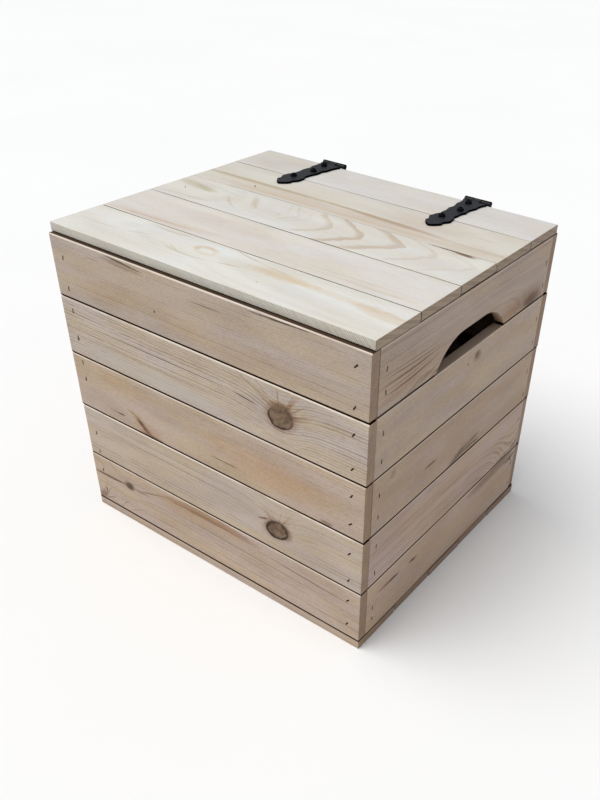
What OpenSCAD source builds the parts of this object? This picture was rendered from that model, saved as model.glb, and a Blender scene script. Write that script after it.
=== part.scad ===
// Kindling box: a slatted pine crate with stapled corner posts, a planked base and a hinged lid.
// Frame: +Z up, +X right, front face towards -Y, origin at the centre of the base's underside.

/* [Boards] */
// Width of the wall and base boards
board_w = 83.4; // [70:0.1:100]
// Thickness of the wall boards
board_t = 14.5; // [12:0.1:18]
// Gap between one wall board and the next
wall_seam = 1; // [0.4:0.1:2.5]
// Radius of the eased long edges
ease_r = 1.8; // [0.5:0.1:3]
// Number of boards in the height of each wall
rows = 5; // [4:1:6]
// Number of boards in the depth of the base and of the lid
strips = 5; // [4:1:6]

/* [Box] */
// Length of the front, back and base boards
box_w = 500; // [400:1:650]
// Gap between a side board's end and the front or back boards
side_gap = 0.3; // [0:0.1:1.5]
// The most that the end of a long board is trimmed short
end_slack = 2; // [0:0.1:4]
// Width of a corner post, along the front
post_w = 20; // [16:0.5:30]
// Depth of a corner post, along the side
post_d = 28; // [22:0.5:36]
// How far the posts stop below the top of the walls
post_drop = 3; // [0:0.5:10]

/* [Base] */
// Thickness of the base boards
base_t = 14; // [10:0.1:20]
// Gap between one base board and the next
base_gap = 3.5; // [2:0.1:8]

/* [Hand holes] */
// Width of each hand hole at its sill
hand_w = 168; // [130:1:220]
// Height of each hand hole
hand_h = 34; // [26:0.5:50]
// Radius of the arc at each end of a hand hole, which its sill cuts short
hand_r = 68; // [30:1:90]
// How far the hand holes stand behind the middle of the sides
hand_back = 2; // [0:0.5:20]

/* [Lid] */
// Thickness of the lid boards
lid_t = 12; // [10:0.1:18]
// Gap between the closed lid and the top of the walls
lid_gap = 0.8; // [0.4:0.1:3]
// Gap between one lid board and the next
lid_seam = 1; // [0.4:0.1:2.5]
// How far the lid stands back from the front and back faces
lid_setback = 5; // [4:0.1:12]
// The most that a lid board is wider or narrower than an even share
lid_spread = 5.5; // [0:0.1:8]
// Width of a lid batten
batten_w = 44; // [40:0.5:60]
// Thickness of a lid batten
batten_t = 14.5; // [10:0.1:20]
// Distance of each batten and hinge from the middle of the lid
batten_x = 125; // [90:0.5:160]
// Gap between a batten's end and the front or back boards
batten_gap = 8; // [5:0.5:20]

/* [Hinges] */
// Length of a hinge leaf, from the pin to the tip
leaf_len = 124; // [100:0.5:140]
// Width of a hinge leaf at its root
leaf_w = 39; // [36:0.5:50]
// Thickness of a hinge leaf
leaf_t = 3; // [2:0.1:4]
// Outer radius of the knuckles
barrel_r = 3.6; // [3.4:0.1:4.2]
// Length of the three knuckles together
barrel_w = 41; // [36:0.5:50]
// Length of the middle knuckle
middle_w = 10; // [8:0.5:16]
// Gap between one knuckle and the next
knuckle_gap = 0.4; // [0.2:0.05:0.8]
// Height of the pin's centre above the wood that the leaf lies on
barrel_lift = 1; // [0.5:0.1:1.5]
// Width of the slot between a leaf and the other leaf's knuckles
leaf_slot = 4.4; // [3.5:0.1:6]
// Radius of the hinge pin
pin_r = 2; // [1.5:0.1:2.2]
// Running clearance around the pin in the lid leaf
pin_play = 0.06; // [0.02:0.01:0.1]
// How far the pin stands out of the barrel at each end
pin_end = 0.6; // [0.2:0.1:1.5]
// Angle by which the left lid leaf is out of square, in degrees
left_skew = 3.5; // [0:0.5:5]
// Angle by which the right lid leaf is out of square, in degrees
right_skew = 2; // [0:0.5:5]

/* [Screws] */
// Radius of a domed screw head
head_r = 5; // [3.5:0.1:6]
// Height of a domed screw head
head_h = 4.6; // [1.5:0.1:5.5]
// Radius of a screw's shank
shank_r = 1.7; // [1.2:0.1:2.2]
// Length of a screw below its head
screw_len = 12; // [9:0.5:13]
// Clearance around a shank in the leaf
leaf_play = 0.2; // [0.1:0.05:0.5]
// Width of the cross recess in a screw head
cross_w = 0.9; // [0.6:0.1:1.2]
// Length of the cross recess in a screw head
cross_len = 4.4; // [3:0.1:5]
// Depth of the cross recess in a screw head
cross_h = 1.2; // [0.6:0.1:1.8]

/* [Staples] */
// Length of a staple's crown
crown_w = 5.8; // [5:0.1:8]
// Thickness of the staple wire
wire = 1.2; // [0.8:0.1:1.5]
// Length of a staple's legs
leg_len = 25; // [20:0.5:25]
// Depth of a staple's crown below the face of the wood
sink = 0.6; // [0.3:0.1:1]
// Clearance between a staple or shank and the wood around it
wood_play = 0.05; // [0.02:0.01:0.1]
// How far the front staples stand inside the posts' outer faces
front_set = 5.5; // [4:0.5:12]
// How far the rear staples of the sides stand inside the posts' outer faces
side_set = 8; // [5:0.5:16]
// How far a staple's legs stay clear of the points of the next wall's staples
leg_clear = 3; // [1.5:0.5:5]
// Distance of a base or lid staple from the edge of its board
staple_edge = 25; // [16:0.5:30]
// Distance of a lid staple from the middle of its batten
staple_x = 14; // [10:0.5:16]
// Lean of the staples on the left of the front, in degrees
left_lean = 6; // [0:1:20]
// Lean of the staples on the right of the front, in degrees
right_lean = 36; // [0:1:60]
// Angle by which a staple's lean may differ from that, in degrees
lean_swing = 8; // [0:1:20]

/* [Hidden] */
$fn = 48;
// Length that a cutting shape runs past the face it cuts
over = 1;
// Wall numbers: each wall's frame is the front's, turned by a quarter for each step
FRONT = 0;
RIGHT = 1;
BACK = 2;
LEFT = 3;

// Trim of the left and right ends of the front boards, from the top row down, in shares of end_slack
front_trim = [[0, 0.25], [0, 0], [0.15, 0.3], [1, 0.1], [0.5, 0.2], [0.2, 0]];
// The same for the back boards, as seen from behind
back_trim = [[0.5, 0.2], [0, 0.4], [0.4, 0], [0.6, 0.25], [0.7, 0.1], [0.25, 0.3]];
// The same for the base boards, from the front to the back
base_trim = [[0.3, 0.2], [0, 0.5], [0.5, 0.1], [0.15, 0.4], [0.4, 0]];
// The same for the lid boards
lid_trim = [[0, 0], [0.3, 0.2], [0.1, 0.5], [0.4, 0.1], [0.2, 0.3]];
// How much wider than an even share each lid board is, from the front, in shares of lid_spread
lid_extra = [0, 0, -0.1, 1, -0.9];

// Staples of each wall's ends, from the top row down: how far the upper one stands below the
// board's upper edge and the lower one above its lower edge, in shares of the board's width
front_left_staples = [[0.34, 0.16], [0.20, 0.32], [0.12, 0.57], [0.51, 0.09], [0.30, 0.26]];
front_right_staples = [[0.25, 0.15], [0.25, 0.20], [0.25, 0.25], [0.30, 0.17], [0.24, 0.26]];
side_front_staples = [[0.35, 0.31], [0.30, 0.24], [0.33, 0.28], [0.26, 0.21], [0.52, 0.24]];
side_rear_staples = [[0.42, 0.20], [0.39, 0.17], [0.38, 0.16], [0.36, 0.18], [0.34, 0.19]];
back_staples = [[0.26, 0.22], [0.29, 0.18], [0.23, 0.27], [0.31, 0.19], [0.21, 0.24]];

// Half outline of a hinge leaf: shares of its length from the pin, and of its half width at the root
leaf_half = [
    [0.11, 0.86], [0.18, 0.80], [0.27, 0.80], [0.35, 0.66], [0.44, 0.72], [0.53, 0.64],
    [0.62, 0.61], [0.67, 0.75], [0.72, 0.80], [0.80, 0.83], [0.84, 0.71], [0.88, 0.64],
    [0.93, 0.56], [0.965, 0.38], [0.99, 0.24], [1.00, 0.12]
];
// Screws of a leaf: shares of its length from the pin, and of its half width to one side
leaf_screws = [[0.17, -0.15], [0.425, 0.20], [0.72, -0.10]];

wall_h = rows * board_w + (rows - 1) * wall_seam;
wall_top = base_t + wall_h;
box_d = strips * board_w + (strips - 1) * base_gap;
side_len = box_d - 2 * board_t - 2 * side_gap;
lid_bottom = wall_top + lid_gap;
lid_top = lid_bottom + lid_t;
lid_d = box_d - 2 * lid_setback;
lid_share = (lid_d - (strips - 1) * lid_seam - lid_rest(strips)) / strips;
batten_len = box_d - 2 * board_t - 2 * batten_gap;
hinge_y = box_d / 2 + barrel_lift;
hinge_z = lid_top + barrel_lift;
leaf_root = barrel_r + leaf_slot;
outer_w = (barrel_w - middle_w) / 2 - knuckle_gap;
staple_reach = sink + leg_len;

// Item n of a list, starting again from its first item past its end
function item(list, n) = list[n % len(list)];

// Distance of a wall's outer face from the middle of the box
function face(wall) = wall % 2 == 0 ? box_d / 2 : box_w / 2;

// Height of the lower edge of the wall boards in row i, counted from the top
function row_z(i) = wall_top - i * board_w - (i - 1) * wall_seam;

// Front edge of base board i, counted from the front
function base_y(i) = -box_d / 2 + (i - 1) * (board_w + base_gap);

// Extra width of the nth lid board, and the sum of the first n of them
function lid_more(n) = lid_spread * item(lid_extra, n - 1);
function lid_rest(n) = n == 0 ? 0 : lid_more(n) + lid_rest(n - 1);

// Width and front edge of lid board i, counted from the front
function lid_w(i) = lid_share + lid_more(i);
function lid_y(i) = -lid_d / 2 + (i - 1) * (lid_share + lid_seam) + lid_rest(i - 1);

// Places of the staples at one end of a wall: [distance along the wall, height, lean]
function end_staples(table, along, lean) = [
    for (i = [1:rows]) for (upper = [true, false])
        let (pair = item(table, i - 1))
            [
                along,
                row_z(i) + board_w * (upper ? 1 - pair[0] : pair[1]),
                90 - lean - lean_swing * sin(100 * i) * (upper ? 1 : -1)
            ]
];

// All the staples of a wall, as seen from outside
function wall_staples(wall) =
    wall == FRONT ? concat(
        end_staples(front_left_staples, -box_w / 2 + board_t + front_set, left_lean),
        end_staples(front_right_staples, box_w / 2 - board_t - front_set, right_lean)
    ) :
    wall == BACK ? concat(
        end_staples(back_staples, -box_w / 2 + staple_reach + leg_clear, left_lean),
        end_staples(back_staples, box_w / 2 - staple_reach - leg_clear, -left_lean)
    ) :
    wall == RIGHT ? concat(
        end_staples(side_front_staples, -box_d / 2 + staple_reach + leg_clear, 0),
        end_staples(side_rear_staples, box_d / 2 - board_t - side_set, left_lean)
    ) : concat(
        end_staples(side_rear_staples, -box_d / 2 + board_t + side_set, left_lean),
        end_staples(side_front_staples, box_d / 2 - staple_reach - leg_clear, 0)
    );

// A rectangle t by w with its corners rounded
module eased(t, w) {
    r = min(ease_r, t / 2, w / 2);
    translate([r, 0]) square([t - 2 * r, w]);
    translate([0, r]) square([t, w - 2 * r]);
    for (x = [r, t - r]) for (y = [r, w - r]) translate([x, y]) circle(r = r);
}

// A board along +X, whose section is depth by height with eased long edges
module board(length, depth, height) {
    rotate([90, 0, 90]) linear_extrude(length) eased(depth, height);
}

// A staple with its legs along -Z, its crown along X and the face of the wood at Z = 0
module staple() {
    translate([-crown_w / 2, -wire / 2, -sink - wire]) cube([crown_w, wire, wire]);
    for (x = [-crown_w / 2, crown_w / 2 - wire])
        translate([x, -wire / 2, -staple_reach]) cube([wire, wire, leg_len]);
}

// The pocket that a staple makes in the wood
module staple_pocket() {
    w = wire + 2 * wood_play;
    crown = crown_w + 2 * wood_play;
    bed = -sink - wire - wood_play;
    translate([-crown / 2, -w / 2, bed]) cube([crown, w, over - bed]);
    for (x = [-crown / 2, crown / 2 - w])
        translate([x, -w / 2, -staple_reach - wood_play]) cube([w, w, leg_len]);
}

// The children placed at each staple of a wall
module at_wall_staples(wall) {
    rotate([0, 0, 90 * wall])
        for (p = wall_staples(wall))
            translate([p[0], -face(wall), p[1]]) rotate([90, 0, 0]) rotate([0, 0, p[2]]) children();
}

// The children placed at each staple under the base, with their legs upwards
module at_base_staples() {
    for (i = [1:strips]) for (x = [-1, 1]) for (y = [staple_edge, board_w - staple_edge])
        translate([x * (box_w - board_t) / 2, base_y(i) + y, 0])
            rotate([180, 0, 90]) children();
}

// The children placed at each staple under the lid's battens, with their legs upwards
module at_lid_staples() {
    for (i = [1:strips]) for (side = [-1, 1]) for (x = [-1, 1])
        for (y = [staple_edge, lid_w(i) - staple_edge])
            translate([side * batten_x + x * staple_x, lid_y(i) + y, lid_bottom - batten_t])
                rotate([180, 0, 90]) children();
}

// A board of the given length along X, centred on X = 0 and then trimmed at its ends
module trimmed_board(length, depth, height, trim) {
    left = end_slack * trim[0];
    right = end_slack * trim[1];
    translate([left - length / 2, 0, 0]) board(length - left - right, depth, height);
}

// One board of a wall
module wall_board(wall, i, length, trim) {
    difference() {
        rotate([0, 0, 90 * wall])
            translate([0, -face(wall), row_z(i)]) trimmed_board(length, board_t, board_w, trim);
        at_wall_staples(wall) staple_pocket();
    }
}

module front_board(i) {
    color("#c9ae8c") wall_board(FRONT, i, box_w, item(front_trim, i - 1));
}

module back_board(i) {
    color("#c4a985") difference() {
        wall_board(BACK, i, box_w, item(back_trim, i - 1));
        hinge_screws(false, shank_r + wood_play);
    }
}

// A side board: the top one has a hand hole in its lower edge, the lowest takes the base staples
module side_board(wall, i) {
    color("#a98f72") difference() {
        wall_board(wall, i, side_len, [0, 0]);
        if (i == 1) hand_hole(wall);
        if (i == rows) at_base_staples() staple_pocket();
    }
}

// The hand hole: flat at its sill and its top, with an arc at each end. An arc's centre lies below the
// sill when its radius is more than the hole's height
module hand_hole(wall) {
    below = max(hand_r - hand_h, 0);
    flat = max(hand_w - 2 * sqrt(hand_r * hand_r - below * below), 1);
    back = wall == RIGHT ? hand_back : -hand_back;
    rotate([0, 0, 90 * wall])
        translate([back, -face(wall) - over, row_z(1)])
            rotate([-90, 0, 0]) linear_extrude(board_t + 2 * over) mirror([0, 1]) intersection() {
                translate([-hand_w, -over]) square([2 * hand_w, hand_h + over]);
                union() {
                    translate([-hand_w / 2, -over]) square([hand_w, hand_h - hand_r + below + over]);
                    translate([-flat / 2, -over]) square([flat, hand_h + over]);
                    for (x = [-1, 1]) translate([x * flat / 2, hand_h - hand_r]) circle(r = hand_r);
                }
            }
}

// A corner post, against the inside of the walls at x and y signs
module post(x, y) {
    color("#b89c78") difference() {
        translate([
            x > 0 ? box_w / 2 - board_t - post_w : -box_w / 2 + board_t,
            y > 0 ? box_d / 2 - board_t - post_d : -box_d / 2 + board_t,
            base_t
        ]) cube([post_w, post_d, wall_h - post_drop]);
        at_wall_staples(y > 0 ? BACK : FRONT) staple_pocket();
        at_wall_staples(x > 0 ? RIGHT : LEFT) staple_pocket();
    }
}

module base_board(i) {
    color("#b59a76") difference() {
        translate([0, base_y(i), 0]) trimmed_board(box_w, board_w, base_t, item(base_trim, i - 1));
        at_base_staples() staple_pocket();
    }
}

module lid_board(i) {
    color("#e6dcc6") difference() {
        translate([0, lid_y(i), lid_bottom]) trimmed_board(box_w, lid_w(i), lid_t, item(lid_trim, i - 1));
        at_lid_staples() staple_pocket();
        hinge_screws(true, shank_r + wood_play);
    }
}

// A batten under the lid, whose staples reach up into the lid boards
module lid_batten(x) {
    color("#c9ae8c") difference() {
        translate([x * batten_x + batten_w / 2, -batten_len / 2, lid_bottom - batten_t])
            rotate([0, 0, 90]) board(batten_len, batten_w, batten_t);
        at_lid_staples() staple_pocket();
    }
}

// The children in a hinge's frame: pin at the origin along X, leaf towards -Y, wood at Z = -barrel_lift
module at_hinge(x, on_lid) {
    translate([x * batten_x, hinge_y, hinge_z]) rotate(on_lid ? [0, 0, 0] : [90, 0, 180]) children();
}

// The turn of a leaf away from square
function skew(x, on_lid) = !on_lid ? 0 : x < 0 ? -left_skew : -right_skew;

// The children at each screw of a leaf, on the leaf's outer face
module at_leaf_screws(x, on_lid) {
    at_hinge(x, on_lid) rotate([0, 0, skew(x, on_lid)])
        for (p = leaf_screws)
            translate([p[1] * leaf_w / 2, -p[0] * leaf_len, leaf_t - barrel_lift]) children();
}

// The shanks of the screws of both hinges, with the given radius
module hinge_screws(on_lid, radius) {
    for (x = [-1, 1])
        at_leaf_screws(x, on_lid)
            translate([0, 0, -screw_len - wood_play]) cylinder(r = radius, h = screw_len + wood_play);
}

// A leaf's plate from its root to its tip, lying on Z = 0
module leaf_plate() {
    half = concat([[leaf_root / leaf_len, 1]], leaf_half);
    side = [for (p = half) [p[1] * leaf_w / 2, -p[0] * leaf_len]];
    other = [for (i = [len(side) - 1:-1:0]) [-side[i][0], side[i][1]]];
    linear_extrude(leaf_t) polygon(concat(side, other));
}

// One knuckle, centred on x, with the strip of leaf that it is rolled from
module knuckle(x, width) {
    translate([x - width / 2, 0, 0]) rotate([0, 90, 0]) cylinder(r = barrel_r, h = width);
    translate([x - width / 2, -leaf_root - over, -barrel_lift]) cube([width, leaf_root + over, leaf_t]);
}

// A hinge leaf: the one on the lid has the middle knuckle, the one on the back has the outer two
module hinge_leaf(x, on_lid) {
    color("#26262a") difference() {
        at_hinge(x, on_lid) difference() {
            union() {
                rotate([0, 0, skew(x, on_lid)]) translate([0, 0, -barrel_lift]) leaf_plate();
                if (on_lid) knuckle(0, middle_w);
                else for (side = [-1, 1]) knuckle(side * (barrel_w - outer_w) / 2, outer_w);
            }
            translate([-barrel_w / 2 - over, 0, 0]) rotate([0, 90, 0])
                cylinder(r = pin_r + (on_lid ? pin_play : 0), h = barrel_w + 2 * over);
        }
        at_leaf_screws(x, on_lid)
            translate([0, 0, -leaf_t - over]) cylinder(r = shank_r + leaf_play, h = leaf_t + 2 * over);
    }
}

module hinge_pin(x) {
    color("#303034") at_hinge(x, true)
        translate([-barrel_w / 2 - pin_end, 0, 0]) rotate([0, 90, 0])
            cylinder(r = pin_r, h = barrel_w + 2 * pin_end);
}

// A screw with a domed head on Z = 0 and a cross recess
module screw() {
    dome_r = (head_r * head_r + head_h * head_h) / (2 * head_h);
    difference() {
        translate([0, 0, head_h - dome_r]) sphere(r = dome_r);
        translate([-dome_r, -dome_r, -2 * dome_r]) cube([2 * dome_r, 2 * dome_r, 2 * dome_r]);
        for (turn = [45, 135])
            rotate([0, 0, turn]) translate([-cross_len / 2, -cross_w / 2, head_h - cross_h])
                cube([cross_len, cross_w, cross_h + over]);
    }
    translate([0, 0, -screw_len]) cylinder(r = shank_r, h = screw_len);
}

module screws(on_lid) {
    color("#1d1d20") for (x = [-1, 1]) at_leaf_screws(x, on_lid) screw();
}

module wall_staple_set(wall) {
    color("#8c8c90") at_wall_staples(wall) staple();
}

for (i = [1:rows]) {
    front_board(i);
    back_board(i);
    side_board(LEFT, i);
    side_board(RIGHT, i);
}
for (i = [1:strips]) {
    base_board(i);
    lid_board(i);
}
post(-1, -1);  // post_front_left
post(1, -1);  // post_front_right
post(-1, 1);  // post_back_left
post(1, 1);  // post_back_right
lid_batten(-1);  // lid_batten_left
lid_batten(1);  // lid_batten_right
hinge_leaf(-1, true);  // hinge_lid_leaf_left
hinge_leaf(1, true);  // hinge_lid_leaf_right
hinge_leaf(-1, false);  // hinge_back_leaf_left
hinge_leaf(1, false);  // hinge_back_leaf_right
hinge_pin(-1);  // hinge_pin_left
hinge_pin(1);  // hinge_pin_right
screws(true);  // hinge_screws_lid
screws(false);  // hinge_screws_back
wall_staple_set(FRONT);  // staples_front
wall_staple_set(BACK);  // staples_back
wall_staple_set(LEFT);  // staples_left
wall_staple_set(RIGHT);  // staples_right
color("#8c8c90") at_base_staples() staple();  // staples_base
color("#8c8c90") at_lid_staples() staple();  // staples_lid
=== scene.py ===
"""Looks of the kindling box, laid out as an add-on and run as a script.

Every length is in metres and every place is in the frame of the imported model: +Z up, +X right, the front towards -Y.
Inside a wood material lengths are millimetres: L along the board, W across it, T out of its face, 0 at the face.
"""

import math

import bpy
import numpy as np
from mathutils import Euler, Matrix, Vector


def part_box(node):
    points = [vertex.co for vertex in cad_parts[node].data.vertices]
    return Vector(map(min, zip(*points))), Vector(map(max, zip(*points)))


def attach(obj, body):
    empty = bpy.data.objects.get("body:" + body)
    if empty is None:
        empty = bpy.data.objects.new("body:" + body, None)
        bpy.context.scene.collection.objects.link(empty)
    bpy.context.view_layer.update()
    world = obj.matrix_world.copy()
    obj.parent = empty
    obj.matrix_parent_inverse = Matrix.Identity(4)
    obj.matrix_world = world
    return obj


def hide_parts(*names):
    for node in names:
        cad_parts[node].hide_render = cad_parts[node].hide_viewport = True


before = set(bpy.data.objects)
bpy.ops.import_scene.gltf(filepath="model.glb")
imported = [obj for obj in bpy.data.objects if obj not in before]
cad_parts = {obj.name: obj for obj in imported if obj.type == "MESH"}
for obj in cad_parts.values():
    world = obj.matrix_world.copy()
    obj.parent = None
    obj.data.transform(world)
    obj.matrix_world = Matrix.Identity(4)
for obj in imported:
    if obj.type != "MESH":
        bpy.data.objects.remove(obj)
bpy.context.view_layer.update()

bl_info = {
    "name": "Kindling Box",
    "version": (1, 0, 0),
    "blender": (4, 5, 0),
    "location": "View3D > Sidebar > Kindling Box",
    "description": "Dresses the slatted kindling box: pine boards, staples, strap hinges and its stage",
    "category": "Add Mesh",
}

MM = 0.001

# Right-handed directions (along the board, across it, out of its face) of each kind of board
FACINGS = {
    "front": ((1, 0, 0), (0, 0, 1), (0, -1, 0)),
    "back": ((-1, 0, 0), (0, 0, 1), (0, 1, 0)),
    "right": ((0, 1, 0), (0, 0, 1), (1, 0, 0)),
    "left": ((0, -1, 0), (0, 0, 1), (-1, 0, 0)),
    "lid": ((1, 0, 0), (0, 1, 0), (0, 0, 1)),
    "base": ((1, 0, 0), (0, -1, 0), (0, 0, -1)),
    "batten": ((0, 1, 0), (1, 0, 0), (0, 0, -1)),
    "post": ((0, 0, 1), (1, 0, 0), (0, 1, 0)),
}
SIDES = {"left": -1, "right": 1}
# First random seed of each kind of board, to which its number is added, and of the hinge leaves
SEEDS = {"front": 0, "back": 10, "left": 20, "right": 30, "base": 50, "post": 60, "lid": 70, "batten": 80}
LEAF_SEED = 90
# Staples: how far apart two points of one crown may lie, the crown's length and thickness, how deep it is sunk below
# the face, and its legs' length
CROWN_REACH = 6.5 * MM
CROWN = (5.8 * MM, 1.2 * MM)
SINK = 0.6 * MM
LEG = 25 * MM
STAPLE_SETS = {
    "staples_front": ("front", "box"),
    "staples_back": ("back", "box"),
    "staples_left": ("left", "box"),
    "staples_right": ("right", "box"),
    "staples_base": ("base", "box"),
    "staples_lid": ("base", "lid"),
}
CUBE = np.array([(x, y, z) for x in (-0.5, 0.5) for y in (-0.5, 0.5) for z in (-0.5, 0.5)])
CUBE_FACES = [(0, 1, 3, 2), (4, 6, 7, 5), (0, 4, 5, 1), (2, 3, 7, 6), (0, 2, 6, 4), (1, 5, 7, 3)]


def metres(name, description, default, soft_max=1.0):
    """A length property, kept in metres."""
    return bpy.props.FloatProperty(
        name=name, description=description, default=default, min=0.0, soft_max=soft_max, subtype="DISTANCE", unit="LENGTH"
    )


def share(name, description, default):
    """A property from 0 to 1."""
    return bpy.props.FloatProperty(
        name=name, description=description, default=default, min=0.0, max=1.0, subtype="FACTOR"
    )


def colour(name, description, default):
    """A linear colour property without alpha."""
    return bpy.props.FloatVectorProperty(
        name=name, description=description, default=default, size=3, min=0.0, max=1.0, subtype="COLOR"
    )


def angle(name, description, degrees):
    """An angle property, with its default in degrees."""
    default = math.radians(degrees)
    return bpy.props.FloatProperty(name=name, description=description, default=default, subtype="ANGLE", unit="ROTATION")


def number(name, description, default):
    """A property without a unit."""
    return bpy.props.FloatProperty(name=name, description=description, default=default)


def vector(name, description, default, **kind):
    """A property of several numbers."""
    return bpy.props.FloatVectorProperty(name=name, description=description, default=default, size=len(default), **kind)


class KindlingBoardSettings(bpy.types.PropertyGroup):
    """Shape of the boards."""

    ease: metres("Eased Edge", "Radius of the eased long edges", 0.0011, 0.005)
    wear: metres("Edge Wear", "How far the radius of the eased edges varies along a board", 0.0006, 0.003)
    end_ease: metres("End Edge", "Radius of the edges at a board's sawn ends", 0.0005, 0.003)
    bow: metres("Bow", "How far a planed face dips below flat along its length", 0.00025, 0.001)
    cup: metres("Cup", "How far a planed face dips below flat across its width", 0.0002, 0.001)
    step: metres("Step", "Distance from one cross-section of a board to the next", 0.006, 0.05)
    pocket: metres("Staple Play", "Room round a staple's crown in its pocket", 0.00045, 0.001)
    hand_width: metres("Hand Hole Width", "Width of a hand hole at its sill", 0.168, 0.3)
    hand_height: metres("Hand Hole Height", "Height of a hand hole", 0.034, 0.1)
    hand_arc: metres("Hand Hole Arc", "Radius of the arcs at a hand hole's ends, which the sill cuts short", 0.068, 0.1)
    hand_back: metres("Hand Hole Place", "How far a hand hole stands behind the middle of its side", 0.002, 0.05)


class KindlingPineSettings(bpy.types.PropertyGroup):
    """Colours of the pine."""

    lid_early: colour("Lid Early Wood", "Pale wood of the lid between its growth rings", (0.71, 0.69, 0.64))
    # Tint of the side walls: partly browner wood, partly painted shade that darkens them
    side_tint_and_shade: colour("Side Tint", "Tint of the side walls, which are a little browner", (0.92, 0.885, 0.865))
    # Colour of the painted highlight on the upper edges of some boards
    arris: colour("Fresh Arris", "Pale wood on the upper edges of some boards", (0.84, 0.74, 0.63))
    lid_late: colour("Lid Late Wood", "Darker wood of the lid's growth rings", (0.55, 0.475, 0.38))
    wall_early: colour("Wall Early Wood", "Pale wood of the walls between the growth rings", (0.515, 0.415, 0.34))
    wall_late: colour("Wall Late Wood", "Darker wood of the walls' growth rings", (0.3, 0.21, 0.15))
    warm: colour("Warm Stain", "Tint of the tan blotches", (0.93, 0.85, 0.7))
    peach: colour("Peach Stain", "Tint of the pinkish tan blotches", (1.0, 0.89, 0.79))
    cool: colour("Cool Cloud", "Tint of the greyer areas", (0.97, 0.965, 1.0))
    sunny: colour("Sunny Cloud", "Tint of the yellower areas", (1.0, 0.965, 0.87))
    pale: colour("Pale Wood", "Paler, greyer wood", (0.52, 0.46, 0.4))
    speck: share("Specks", "How much fine specks lighten and darken the walls", 0.1)
    tan: colour("Tan Streak", "Tint of the lid's tan streaks", (0.9, 0.74, 0.56))
    rose: colour("Rose Stain", "Tint of the pinkish blotches", (0.93, 0.85, 0.82))
    olive: colour("Olive Streak", "Tint of the lid's olive streaks", (0.78, 0.74, 0.62))
    band: colour("Band", "Tint of the brown band across the lid", (0.75, 0.62, 0.5))
    brown: colour("Brown Stain", "Tint of the brown stains near knots", (0.45, 0.3, 0.2))
    pitch: colour("Pitch", "Dried resin and torn grain", (0.045, 0.026, 0.014))
    knot: colour("Knot", "Heart of a knot", (0.19, 0.12, 0.07))
    bark: colour("Knot Rim", "Dark rim of a knot", (0.026, 0.015, 0.008))
    grain: share("Grain", "Strength of the growth rings", 1.0)


class KindlingHingeSettings(bpy.types.PropertyGroup):
    """Sizes and colours of the hinges and screws."""

    leaf_width: metres("Leaf Width", "Width of a leaf at its root", 0.039, 0.1)
    leaf_thickness: metres("Leaf Thickness", "Thickness of a leaf", 0.003, 0.005)
    barrel_radius: metres("Barrel Radius", "Outer radius of the knuckles", 0.0036, 0.01)
    barrel_lift: metres("Barrel Lift", "Height of the pin's centre above the wood", 0.001, 0.005)
    middle_width: metres("Middle Knuckle", "Length of the middle knuckle", 0.010, 0.03)
    knuckle_gap: metres("Knuckle Gap", "Gap between one knuckle and the next", 0.0004, 0.002)
    slot: metres("Slot", "Width of the slot beside the knuckles", 0.0058, 0.008)
    edge: metres("Leaf Edge", "Radius of a leaf's upper edge", 0.0007, 0.002)
    dent: metres("Hammer Marks", "Depth of the hammer marks", 0.00015, 0.001)
    left_skew: angle("Left Skew", "Turn of the left lid leaf", -3.5)
    right_skew: angle("Right Skew", "Turn of the right lid leaf", -2.0)
    head_radius: metres("Screw Head", "Radius of a screw's head", 0.005, 0.01)
    head_height: metres("Screw Dome", "Height of a screw's head", 0.0046, 0.01)
    cross_width: metres("Cross Width", "Width of the cross recess", 0.0009, 0.003)
    cross_length: metres("Cross Length", "Length of the cross recess", 0.0044, 0.01)
    coat: colour("Black Coat", "Colour of the powder coat", (0.006, 0.007, 0.010))
    screw: colour("Black Screw", "Colour of the screws", (0.001, 0.001, 0.002))
    steel: colour("Staple Steel", "Colour of the staples", (0.03, 0.025, 0.02))


class KindlingStageSettings(bpy.types.PropertyGroup):
    """Camera, floor and light."""

    camera_place: vector(
        "Camera Place", "Where the camera stands", (0.65393, -0.82219, 0.83019), subtype="XYZ", unit="LENGTH"
    )
    camera_turn: vector(
        "Camera Turn",
        "Turn of the camera about X, Y and Z",
        tuple(math.radians(turn) for turn in (52.425, -1.983, 35.742)),
        subtype="EULER",
        unit="ROTATION",
    )
    lens: number("Lens", "Focal length in millimetres on a 36 mm sensor", 37.206)
    shift: vector("Shift", "Lens shift in shares of the frame's long side", (-0.075, 0.10745))
    floor_reach: metres("Floor Reach", "Half the floor's width", 40.0, 100.0)
    floor_colour: colour("Floor", "Colour of the floor", (0.95, 0.95, 0.95))
    sky: colour("Sky", "Colour of the light from all around", (0.93, 0.96, 1.0))
    sky_strength: number("Sky Strength", "Strength of the light from all around", 0.45)
    key_toward: vector("Key Direction", "Where the key light comes from", (-0.3, -0.33, 0.89), subtype="DIRECTION")
    key_strength: number("Key Strength", "Strength of the key light", 2.2)
    key_spread: angle("Key Spread", "Angle that the key light fills", 50)


# ---------------------------------------------------------------- meshes


def new_object(name, data):
    """A new object at the origin, in the scene."""
    piece = bpy.data.objects.new(name, data)
    bpy.context.scene.collection.objects.link(piece)
    return piece


def new_mesh(name, points, faces):
    mesh = bpy.data.meshes.new(name)
    mesh.from_pydata(np.asarray(points).tolist(), [], faces)
    return mesh


def smooth_edges(mesh, degrees):
    """Smooth shading, apart from edges sharper than the angle."""
    mesh.shade_smooth()
    mesh.set_sharp_from_angle(angle=math.radians(degrees))


def put_mesh(name, shape, material, body, smooth=None):
    """A new object at the origin from points and faces, which rides on body."""
    mesh = new_mesh(name, *shape)
    mesh.validate()
    if smooth is not None:
        smooth_edges(mesh, smooth)
    mesh.materials.append(material)
    piece = new_object(name, mesh)
    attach(piece, body)
    return piece


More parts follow.
